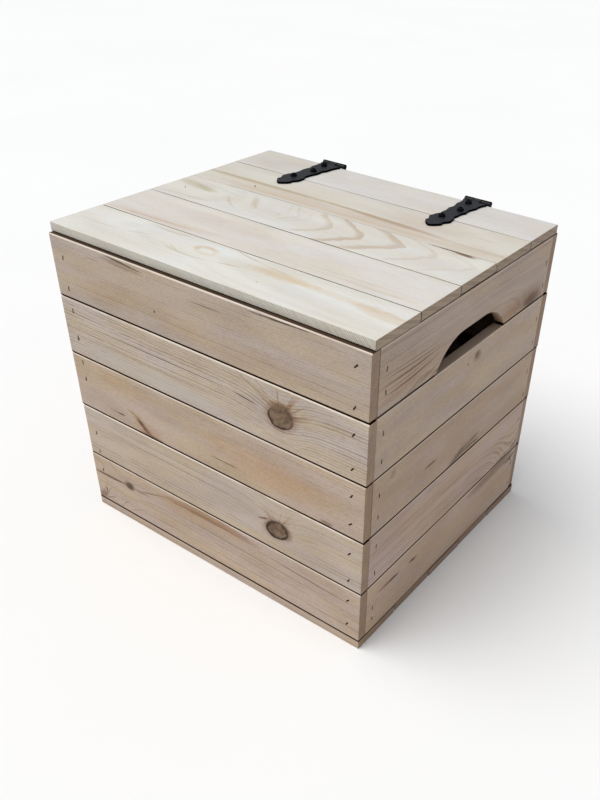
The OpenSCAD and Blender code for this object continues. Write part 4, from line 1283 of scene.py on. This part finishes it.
def board_piece(node, facing, body, number, staples=None, holes=None):
    """A new board in the place of a CAD board, with its staple pockets and its hole cut out."""
    seed = SEEDS[facing] + number
    middle, turn, size = board_frame(node, facing)
    points, rows, columns = board_points(*size, seed, bpy.context.scene.kindling_board)
    shape = (middle + points @ turn.T, tube_faces(rows, columns))
    piece = put_mesh(f"{node}_wood", shape, pine_material(node, facing, seed), body)
    for tool in (pockets_in(node, staples) if staples else None, holes(middle, turn, size) if holes else None):
        if tool:
            cut(piece, *tool)
    smooth_edges(piece.data, 32)
    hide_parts(node)
    return piece


def hand_hole(middle, turn, size):
    """The tool for a hand hole: a flat top, and at each end an arc of radius r from just below the sill up to the top.

    The arcs' centres lie r - height below the sill, and sqrt(r^2 - (r - height)^2) in from the ends of the sill."""
    board = bpy.context.scene.kindling_board
    half, top, arc, below = board.hand_width / 2, board.hand_height, board.hand_arc, 3 * MM
    run = math.sqrt(arc**2 - (arc - top) ** 2)
    angles = np.linspace(np.pi - math.asin((arc - top - below) / arc), np.pi / 2, 18)
    flare = np.column_stack([np.cos(angles), np.sin(angles)])
    left = (run - half, top - arc) + arc * flare
    outline, flare = (np.concatenate([part, part[::-1] * (-1, 1)]) for part in (left, flare))
    shift = turn[:, 0] @ np.array((0, board.hand_back, 0))
    verts, levels = hole_points(outline + (shift, -size[1] / 2), flare, size[2], HOLE_ROUND)
    return middle + verts @ turn.T, [face[::-1] for face in tube_faces(levels, len(outline))]


class KINDLING_OT_walls(bpy.types.Operator):
    """Add the front, back and side boards"""

    bl_idname = "kindling.walls"
    bl_label = "Walls"

    def execute(self, context):
        for facing, name in NODE_NAMES.items():
            for row in range(1, BOARDS + 1):
                holes = hand_hole if row == 1 and facing in SIDES else None
                board_piece(f"{name}_{row}", facing, "box", row, f"staples_{facing}", holes)
        return {"FINISHED"}


class KINDLING_OT_base(bpy.types.Operator):
    """Add the base boards and the corner posts"""

    bl_idname = "kindling.base"
    bl_label = "Base and Posts"

    def execute(self, context):
        for row in range(1, BOARDS + 1):
            board_piece(f"base_board_{row}", "base", "box", row, "staples_base")
        for index, corner in enumerate(("front_left", "front_right", "back_left", "back_right")):
            board_piece(f"post_{corner}", "post", "box", index)
        return {"FINISHED"}


class KINDLING_OT_lid(bpy.types.Operator):
    """Add the lid boards and their battens"""

    bl_idname = "kindling.lid"
    bl_label = "Lid"

    def execute(self, context):
        for row in range(1, BOARDS + 1):
            board_piece(f"lid_board_{row}", "lid", "lid", row)
        for index, side in enumerate(SIDES):
            board_piece(f"lid_batten_{side}", "batten", "lid", index, "staples_lid")
        return {"FINISHED"}


# ---------------------------------------------------------------- metal pieces


def staple_points(place, side, outward):
    """Points of one staple: a square section carried up one leg, round a bend, along the crown and down the other leg."""
    normal = np.array(outward, float)
    wire, half = CROWN[1], (CROWN[0] - CROWN[1]) / 2
    bend, angles = 0.8 * wire, np.linspace(0, np.pi / 2, 4)
    round_x, round_z = bend * (1 - np.cos(angles)) - half, bend * (np.sin(angles) - 1) - wire / 2
    left = np.column_stack([np.concatenate([[-half, -half], round_x]), np.concatenate([[-LEG, -2 * wire], round_z])])
    path = np.concatenate([left, left[::-1] * (-1, 1)])
    ahead = np.gradient(path, axis=0)
    ahead /= np.linalg.norm(ahead, axis=1)[:, None]
    outer = np.column_stack([-ahead[:, 1], ahead[:, 0]])
    corners = np.array([(-1, -1), (1, -1), (1, 1), (-1, 1)]) * wire / 2
    flat = path[:, None] + outer[:, None] * corners[None, :, :1]
    wide = np.broadcast_to(corners[None, :, 1:], flat[..., :1].shape)
    spots = place + flat[..., :1] * side + flat[..., 1:] * normal + wide * np.cross(normal, side)
    return spots.reshape(-1, 3), tube_faces(len(path), len(corners))


class KINDLING_OT_staples(bpy.types.Operator):
    """Add the staples"""

    bl_idname = "kindling.staples"
    bl_label = "Staples"

    def execute(self, context):
        steel = context.scene.kindling_hinge.steel
        material = metal_material("staple_steel", steel, rough=0.62, dents=0.04 * MM, shine=0.06)
        for node, (facing, body) in STAPLE_SETS.items():
            outward = FACINGS[facing][2]
            staples = Shape()
            for place, side in staple_places(node, outward):
                staples.add(*staple_points(place, side, outward))
            piece = put_mesh(f"{node}_steel", staples.whole(), material, body, smooth=50)
            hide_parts(node)
        return {"FINISHED"}


# Half outline of a leaf: shares of its length from the pin, and of its half width at the root
LEAF_HALF = np.array(
    [
        (0.11, 0.86), (0.18, 0.80), (0.27, 0.80), (0.35, 0.66), (0.44, 0.72), (0.53, 0.64), (0.64, 0.61), (0.69, 0.78),
        (0.72, 0.81), (0.79, 0.85), (0.85, 0.62), (0.865, 0.61), (0.90, 0.66), (0.935, 0.53), (0.97, 0.34), (1.00, 0.10),
    ]
)  # fmt: skip
# Distance from one section of a leaf to the next, and how wide its hammer marks are
LEAF_STEP, DENT_REACH = 1.2 * MM, 6 * MM
# Screws of a leaf: shares of its length from the pin, and of its half width to one side
LEAF_SCREWS = ((0.17, -0.15), (0.425, 0.20), (0.72, -0.10))
# Radius and height of a screw's shank where its outline bends, from the head down to the tip
SHANK = np.array([(1.7, -0.001), (1.7, -9.0), (1.1, -10.5), (0.25, -12.0)]) * MM
CROSS_DEPTH = 1.2 * MM
# Steps round a pin; and its end's outline, as how far in from the end and as a share of its radius
PIN_STEPS = 32
PIN_END = np.array([(0.0, 0.55), (0.12 * MM, 0.8), (0.4 * MM, 1.0)])
# The lid's knuckles turn on the pin with this much room
PIN_PLAY = 0.06 * MM


def hinge_frame(side, on_lid):
    """Matrix from a hinge's own frame (pin along X, leaf towards -Y, wood below) to the model's, and the leaf's turn."""
    low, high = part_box(f"hinge_pin_{side}")
    place = Matrix.Translation((low + high) / 2)
    hinge = bpy.context.scene.kindling_hinge
    if on_lid:
        return place, Matrix.Rotation(hinge.left_skew if side == "left" else hinge.right_skew, 4, "Z")
    return place @ Matrix(((-1, 0, 0, 0), (0, 0, 1, 0), (0, 1, 0, 0), (0, 0, 0, 1))), Matrix.Identity(4)


def leaf_length(side):
    """Distance from the pin's middle to the tip of the leaf on the back."""
    pin_low, pin_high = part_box(f"hinge_pin_{side}")
    return (pin_low.z + pin_high.z) / 2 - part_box(f"hinge_back_leaf_{side}")[0].z


def moved(points, matrix):
    """Points as an array, carried by a 4x4 matrix."""
    matrix = np.array(matrix)
    return points @ matrix[:3, :3].T + matrix[:3, 3]


def leaf_plate(length, seed, hinge):
    """Points and faces of a leaf's plate: rows are sections along it, from the outline's half width at each place.

    A section runs over the top from one edge to the other, with its edges rounded by quarter circles, and back along the
    flat underside. The top dips by smooth noise, as if hammered, and the edges are dented inward by the same means."""
    rng = np.random.default_rng(seed)
    root = (hinge.barrel_radius + hinge.slot) / length
    breaks = np.concatenate([[root], LEAF_HALF[:, 0]])
    along = np.unique(np.concatenate([breaks, np.arange(root, 1.0, LEAF_STEP / length)]).round(6))
    half = np.interp(along, breaks, np.concatenate([[1.0], LEAF_HALF[:, 1]])) * hinge.leaf_width / 2
    half = half - 6 * hinge.dent * drift(rng, along * length, DENT_REACH)
    edge = np.minimum(hinge.edge, half * 0.4)
    angles = np.linspace(0, np.pi / 2, 5)
    across = np.linspace(-1, 1, 13)[1:-1]
    left = -half[:, None] + edge[:, None] * (1 - np.cos(angles))
    top = (half - edge)[:, None] * across
    thick = hinge.leaf_thickness
    rise = thick - edge[:, None] * (1 - np.sin(angles))
    dents = [drift(rng, along * length, DENT_REACH + k * MM) for k in range(len(across))]
    level = thick - hinge.dent * np.stack(dents, axis=1)
    zero = np.zeros((len(along), 1))
    x = np.concatenate([-half[:, None], left, top, -left[:, ::-1], half[:, None]], axis=1)
    z = np.concatenate([zero, rise, level, rise[:, ::-1], zero], axis=1)
    y = np.broadcast_to(-(along * length)[:, None], x.shape)
    points = np.stack([x, y, z - hinge.barrel_lift], axis=-1).reshape(-1, 3)
    return points, tube_faces(len(along), x.shape[1])


def knuckle(middle, width, hinge, pin_radius):
    """Points and faces of one knuckle: a ring round the pin that runs out into the strip that joins the plate.

    Towards the plate the outer radius is the greater of the barrel's and the distance to the strip's outline, which is
    height / sin(angle) for its faces and length / cos(angle) for its end. Its side edges are rounded a little."""
    arcs = ((0, 0.78, 39), (0.78, 1.22, 40), (1.22, 2, 39))
    angles = np.pi * np.concatenate([np.linspace(*arc, endpoint=False) for arc in arcs])
    top, bottom = hinge.leaf_thickness - hinge.barrel_lift, hinge.barrel_lift
    run = hinge.barrel_radius + hinge.slot + MM
    cosine, sine = np.cos(angles), np.sin(angles)
    face = np.where(sine > 0, top / np.maximum(sine, 1e-9), bottom / np.maximum(-sine, 1e-9))
    strip = np.where(cosine < 0, np.minimum(face, run / np.maximum(-cosine, 1e-9)), 0.0)
    outer = np.maximum(hinge.barrel_radius, strip)
    inner = np.full_like(outer, pin_radius)
    edge = 0.25 * MM
    levels = np.array([-0.5, -0.5, -0.5, 0.5, 0.5, 0.5]) * width + np.array([0, 0, edge, -edge, 0, 0])
    radii = np.stack([inner, outer - edge, outer, outer, outer - edge, inner], axis=1)
    x = np.broadcast_to(middle + levels, radii.shape)
    points = np.stack([x, radii * cosine[:, None], radii * sine[:, None]], axis=-1).reshape(-1, 3)
    return points, grid_faces(len(angles), len(levels), round_rows=True)


def pin_shape(length, radius):
    """Points and faces of a pin along X: its outline, turned about the axis, closed by a flat disc at each end."""
    outline = np.concatenate([PIN_END, (PIN_END * (-1, 1) + (length, 0))[::-1]]) * (1, radius) - (length / 2, 0)
    turn = np.linspace(0, 2 * np.pi, PIN_STEPS, endpoint=False)[:, None]
    x = np.broadcast_to(outline[:, 0], (PIN_STEPS, len(outline)))
    points = np.stack([x, outline[:, 1] * np.cos(turn), outline[:, 1] * np.sin(turn)], axis=-1).reshape(-1, 3)
    starts = np.arange(PIN_STEPS) * len(outline)
    faces = grid_faces(PIN_STEPS, len(outline), round_columns=False, round_rows=True)
    return points, faces + [starts.tolist(), (starts + len(outline) - 1)[::-1].tolist()]


class KINDLING_OT_hinges(bpy.types.Operator):
    """Add the strap hinges' leaves and pins"""

    bl_idname = "kindling.hinges"
    bl_label = "Hinges"

    def execute(self, context):
        hinge = context.scene.kindling_hinge
        look_of = {"rough": 0.46, "dents": 0.12 * MM, "shine": 0.32}
        coats = [metal_material(f"hinge_black_{axis}", hinge.coat, face=axis, **look_of) for axis in (1, 2)]
        steel = metal_material("pin_steel", hinge.screw, rough=0.4, dents=0.04 * MM, metallic=0.6)
        for index, side in enumerate(SIDES):
            pin_low, pin_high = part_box(f"hinge_pin_{side}")
            pin_radius = (pin_high.z - pin_low.z) / 2
            back_low, back_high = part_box(f"hinge_back_leaf_{side}")
            barrel = back_high.x - back_low.x
            outer = (barrel - hinge.middle_width) / 2 - hinge.knuckle_gap
            lid_knuckles = [(0.0, hinge.middle_width, pin_radius + PIN_PLAY)]
            back_knuckles = [(way * (barrel - outer) / 2, outer, pin_radius) for way in SIDES.values()]
            for leaf, body, knuckles in (("lid", "lid", lid_knuckles), ("back", "box", back_knuckles)):
                on_lid = leaf == "lid"
                place, skew = hinge_frame(side, on_lid)
                strap = Shape()
                points, faces = leaf_plate(leaf_length(side), LEAF_SEED + 2 * index + on_lid, hinge)
                strap.add(moved(points, place @ skew), faces)
                for middle, width, bore in knuckles:
                    points, faces = knuckle(middle, width, hinge, bore)
                    strap.add(moved(points, place), faces)
                node = f"hinge_{leaf}_leaf_{side}"
                piece = put_mesh(f"{node}_strap", strap.whole(), coats[on_lid], body, 40)
                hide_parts(node)
            points, faces = pin_shape(pin_high.x - pin_low.x, pin_radius)
            points = moved(points, hinge_frame(side, True)[0])
            piece = put_mesh(f"hinge_pin_{side}_rod", (points, faces), steel, "box", 40)
            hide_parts(f"hinge_pin_{side}")
        return {"FINISHED"}


def head_points(hinge):
    """Points of a screw's head on a square grid: (s, t) goes to the disc at (s sqrt(1 - t^2 / 2), t sqrt(1 - s^2 / 2)),
    and rises to a dome, sqrt(R^2 - x^2 - y^2) - (R - height). The cross is sunk where |x| and |y| are inside its arms."""
    radius, rise = hinge.head_radius, hinge.head_height
    arm, reach = hinge.cross_width / 2 / radius, hinge.cross_length / 2 / radius
    gap = 0.02
    stops = np.array([0, arm - gap, arm + gap, reach - gap, reach + gap, 1.0])
    lines = np.unique(np.concatenate([stops, -stops, np.linspace(-1, 1, 15)]).round(5))
    s, t = np.meshgrid(lines, lines, indexing="ij")
    x, y = radius * s * np.sqrt(1 - t**2 / 2), radius * t * np.sqrt(1 - s**2 / 2)
    ball = (radius**2 + rise**2) / (2 * rise)
    z = np.sqrt(np.maximum(ball**2 - x**2 - y**2, 0)) - (ball - rise)
    in_cross = (np.abs(s) < arm) & (np.abs(t) < reach) | (np.abs(t) < arm) & (np.abs(s) < reach)
    z = np.where(in_cross, rise - CROSS_DEPTH, z)
    return np.stack([x, y, z], axis=-1).reshape(-1, 3), len(lines)


def rim_loop(side):
    """Indices round the edge of a square grid, anticlockwise seen from above for an 'ij' grid."""
    k = np.arange(side - 1)
    return np.concatenate([k * side, (side - 1) * side + k, (side - 1 - k) * side + side - 1, side - 1 - k])


def screw_shape(hinge):
    """Points and faces of a screw with its head's underside at the origin: the head's grid, then rings down its shank."""
    head, side_count = head_points(hinge)
    rim = rim_loop(side_count)
    angles = np.arctan2(head[rim, 1], head[rim, 0])
    rings = [np.column_stack([r * np.cos(angles), r * np.sin(angles), np.full(len(rim), z)]) for r, z in SHANK]
    faces = grid_faces(side_count, side_count, round_columns=False)
    loops = [rim] + [len(head) + len(rim) * k + np.arange(len(rim)) for k in range(len(rings))]
    for upper, lower in zip(loops, loops[1:]):
        faces += np.column_stack([lower, np.roll(lower, -1), np.roll(upper, -1), upper]).tolist()
    return np.concatenate([head, *rings]), faces + [loops[-1].tolist()[::-1]]


class KINDLING_OT_screws(bpy.types.Operator):
    """Add the hinges' screws"""

    bl_idname = "kindling.screws"
    bl_label = "Screws"

    def execute(self, context):
        hinge = context.scene.kindling_hinge
        material = metal_material("screw_black", hinge.screw, rough=0.5, dents=0.03 * MM, shine=0.05)
        points, faces = screw_shape(hinge)
        level = hinge.leaf_thickness - hinge.barrel_lift
        for part, body in (("lid", "lid"), ("back", "box")):
            screws = Shape()
            for side in SIDES:
                place, skew = hinge_frame(side, part == "lid")
                for index, (away, across) in enumerate(LEAF_SCREWS):
                    spot = Matrix.Translation((across * hinge.leaf_width / 2, -away * leaf_length(side), level))
                    turn = Matrix.Rotation(0.5 + 1.1 * index, 4, "Z")
                    screws.add(moved(points, place @ skew @ spot @ turn), faces)
            piece = put_mesh(f"hinge_screws_{part}_heads", screws.whole(), material, body, 50)
            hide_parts(f"hinge_screws_{part}")
        return {"FINISHED"}


# ---------------------------------------------------------------- stage

# How dark the floor's clouds are, how bright the sky looks to the camera, and the key light's colour
FLOOR_CLOUD = 0.985
SEEN_SKY = 0.97
KEY_TONE = (1.0, 0.985, 0.96)


class KINDLING_OT_stage(bpy.types.Operator):
    """Add the camera, the floor and the light"""

    bl_idname = "kindling.stage"
    bl_label = "Stage"

    def execute(self, context):
        stage = context.scene.kindling_stage
        camera = new_object("camera", bpy.data.cameras.new("camera"))
        camera.location, camera.rotation_euler = stage.camera_place, Euler(stage.camera_turn, "XYZ")
        camera.data.lens, camera.data.sensor_width = stage.lens, 36.0
        camera.data.shift_x, camera.data.shift_y = stage.shift
        camera.data.clip_end = 200.0
        context.scene.camera = camera
        context.scene.view_settings.view_transform = "Standard"

        corners = [(x * stage.floor_reach, y * stage.floor_reach, 0) for x, y in ((-1, -1), (1, -1), (1, 1), (-1, 1))]
        floor = new_object("floor", new_mesh("floor", corners, [(0, 1, 2, 3)]))
        material = bpy.data.materials.new("floor")
        g = Graph(blank_tree(material))
        cloud = g.noise(g.add("ShaderNodeTexCoord").outputs["Object"], (1.5, 1.5, 1.5), 0.0, 3.0)
        darker = rgba([part * FLOOR_CLOUD for part in stage.floor_colour])
        tone = g.mix(g.ramp(cloud, 0.3, 0.7), rgba(stage.floor_colour), darker)
        g.surface({"Base Color": tone, "Roughness": 0.9, "Specular IOR Level": 0.2})
        floor.data.materials.append(material)

        world = bpy.data.worlds.new("sky")
        g = Graph(blank_tree(world))
        lit = g.add("ShaderNodeBackground", rgba(stage.sky), stage.sky_strength)
        seen = g.add("ShaderNodeBackground", (1.0, 1.0, 1.0, 1.0), SEEN_SKY)
        path = g.add("ShaderNodeLightPath").outputs["Is Camera Ray"]
        both = g.add("ShaderNodeMixShader", path, lit.outputs[0], seen.outputs[0])
        g.add("ShaderNodeOutputWorld", both.outputs[0])
        context.scene.world = world

        # A wide, far lamp lights the whole floor alike
        lamp = new_object("key", bpy.data.lights.new("key", "SUN"))
        lamp.rotation_euler = Vector(stage.key_toward).to_track_quat("Z", "Y").to_euler()
        lamp.data.energy, lamp.data.angle, lamp.data.color = stage.key_strength, stage.key_spread, KEY_TONE
        return {"FINISHED"}


class KINDLING_PT_panel(bpy.types.Panel):
    """Lists the pieces and their settings"""

    bl_label = "Kindling Box"
    bl_idname = "KINDLING_PT_panel"
    bl_space_type = "VIEW_3D"
    bl_region_type = "UI"
    bl_category = "Kindling Box"

    def draw(self, context):
        for settings in SETTINGS:
            box = self.layout.box()
            group = getattr(context.scene, settings)
            for key in group.bl_rna.properties.keys():
                if key not in ("name", "rna_type"):
                    box.prop(group, key)
        for operator in OPERATORS:
            self.layout.operator(operator.bl_idname)


SETTINGS = {
    "kindling_board": KindlingBoardSettings,
    "kindling_pine": KindlingPineSettings,
    "kindling_hinge": KindlingHingeSettings,
    "kindling_stage": KindlingStageSettings,
}
OPERATORS = (
    KINDLING_OT_walls,
    KINDLING_OT_base,
    KINDLING_OT_lid,
    KINDLING_OT_staples,
    KINDLING_OT_hinges,
    KINDLING_OT_screws,
    KINDLING_OT_stage,
)


def register():
    for name, settings in SETTINGS.items():
        bpy.utils.register_class(settings)
        setattr(bpy.types.Scene, name, bpy.props.PointerProperty(type=settings))
    for panel_or_operator in (*OPERATORS, KINDLING_PT_panel):
        bpy.utils.register_class(panel_or_operator)


def unregister():
    for panel_or_operator in (KINDLING_PT_panel, *reversed(OPERATORS)):
        bpy.utils.unregister_class(panel_or_operator)
    for name, settings in SETTINGS.items():
        delattr(bpy.types.Scene, name)
        bpy.utils.unregister_class(settings)


def main():
    """Adds every piece in order."""
    register()
    for operator in OPERATORS:
        getattr(bpy.ops.kindling, operator.bl_idname.split(".")[1])()


if __name__ == "__main__":
    main()
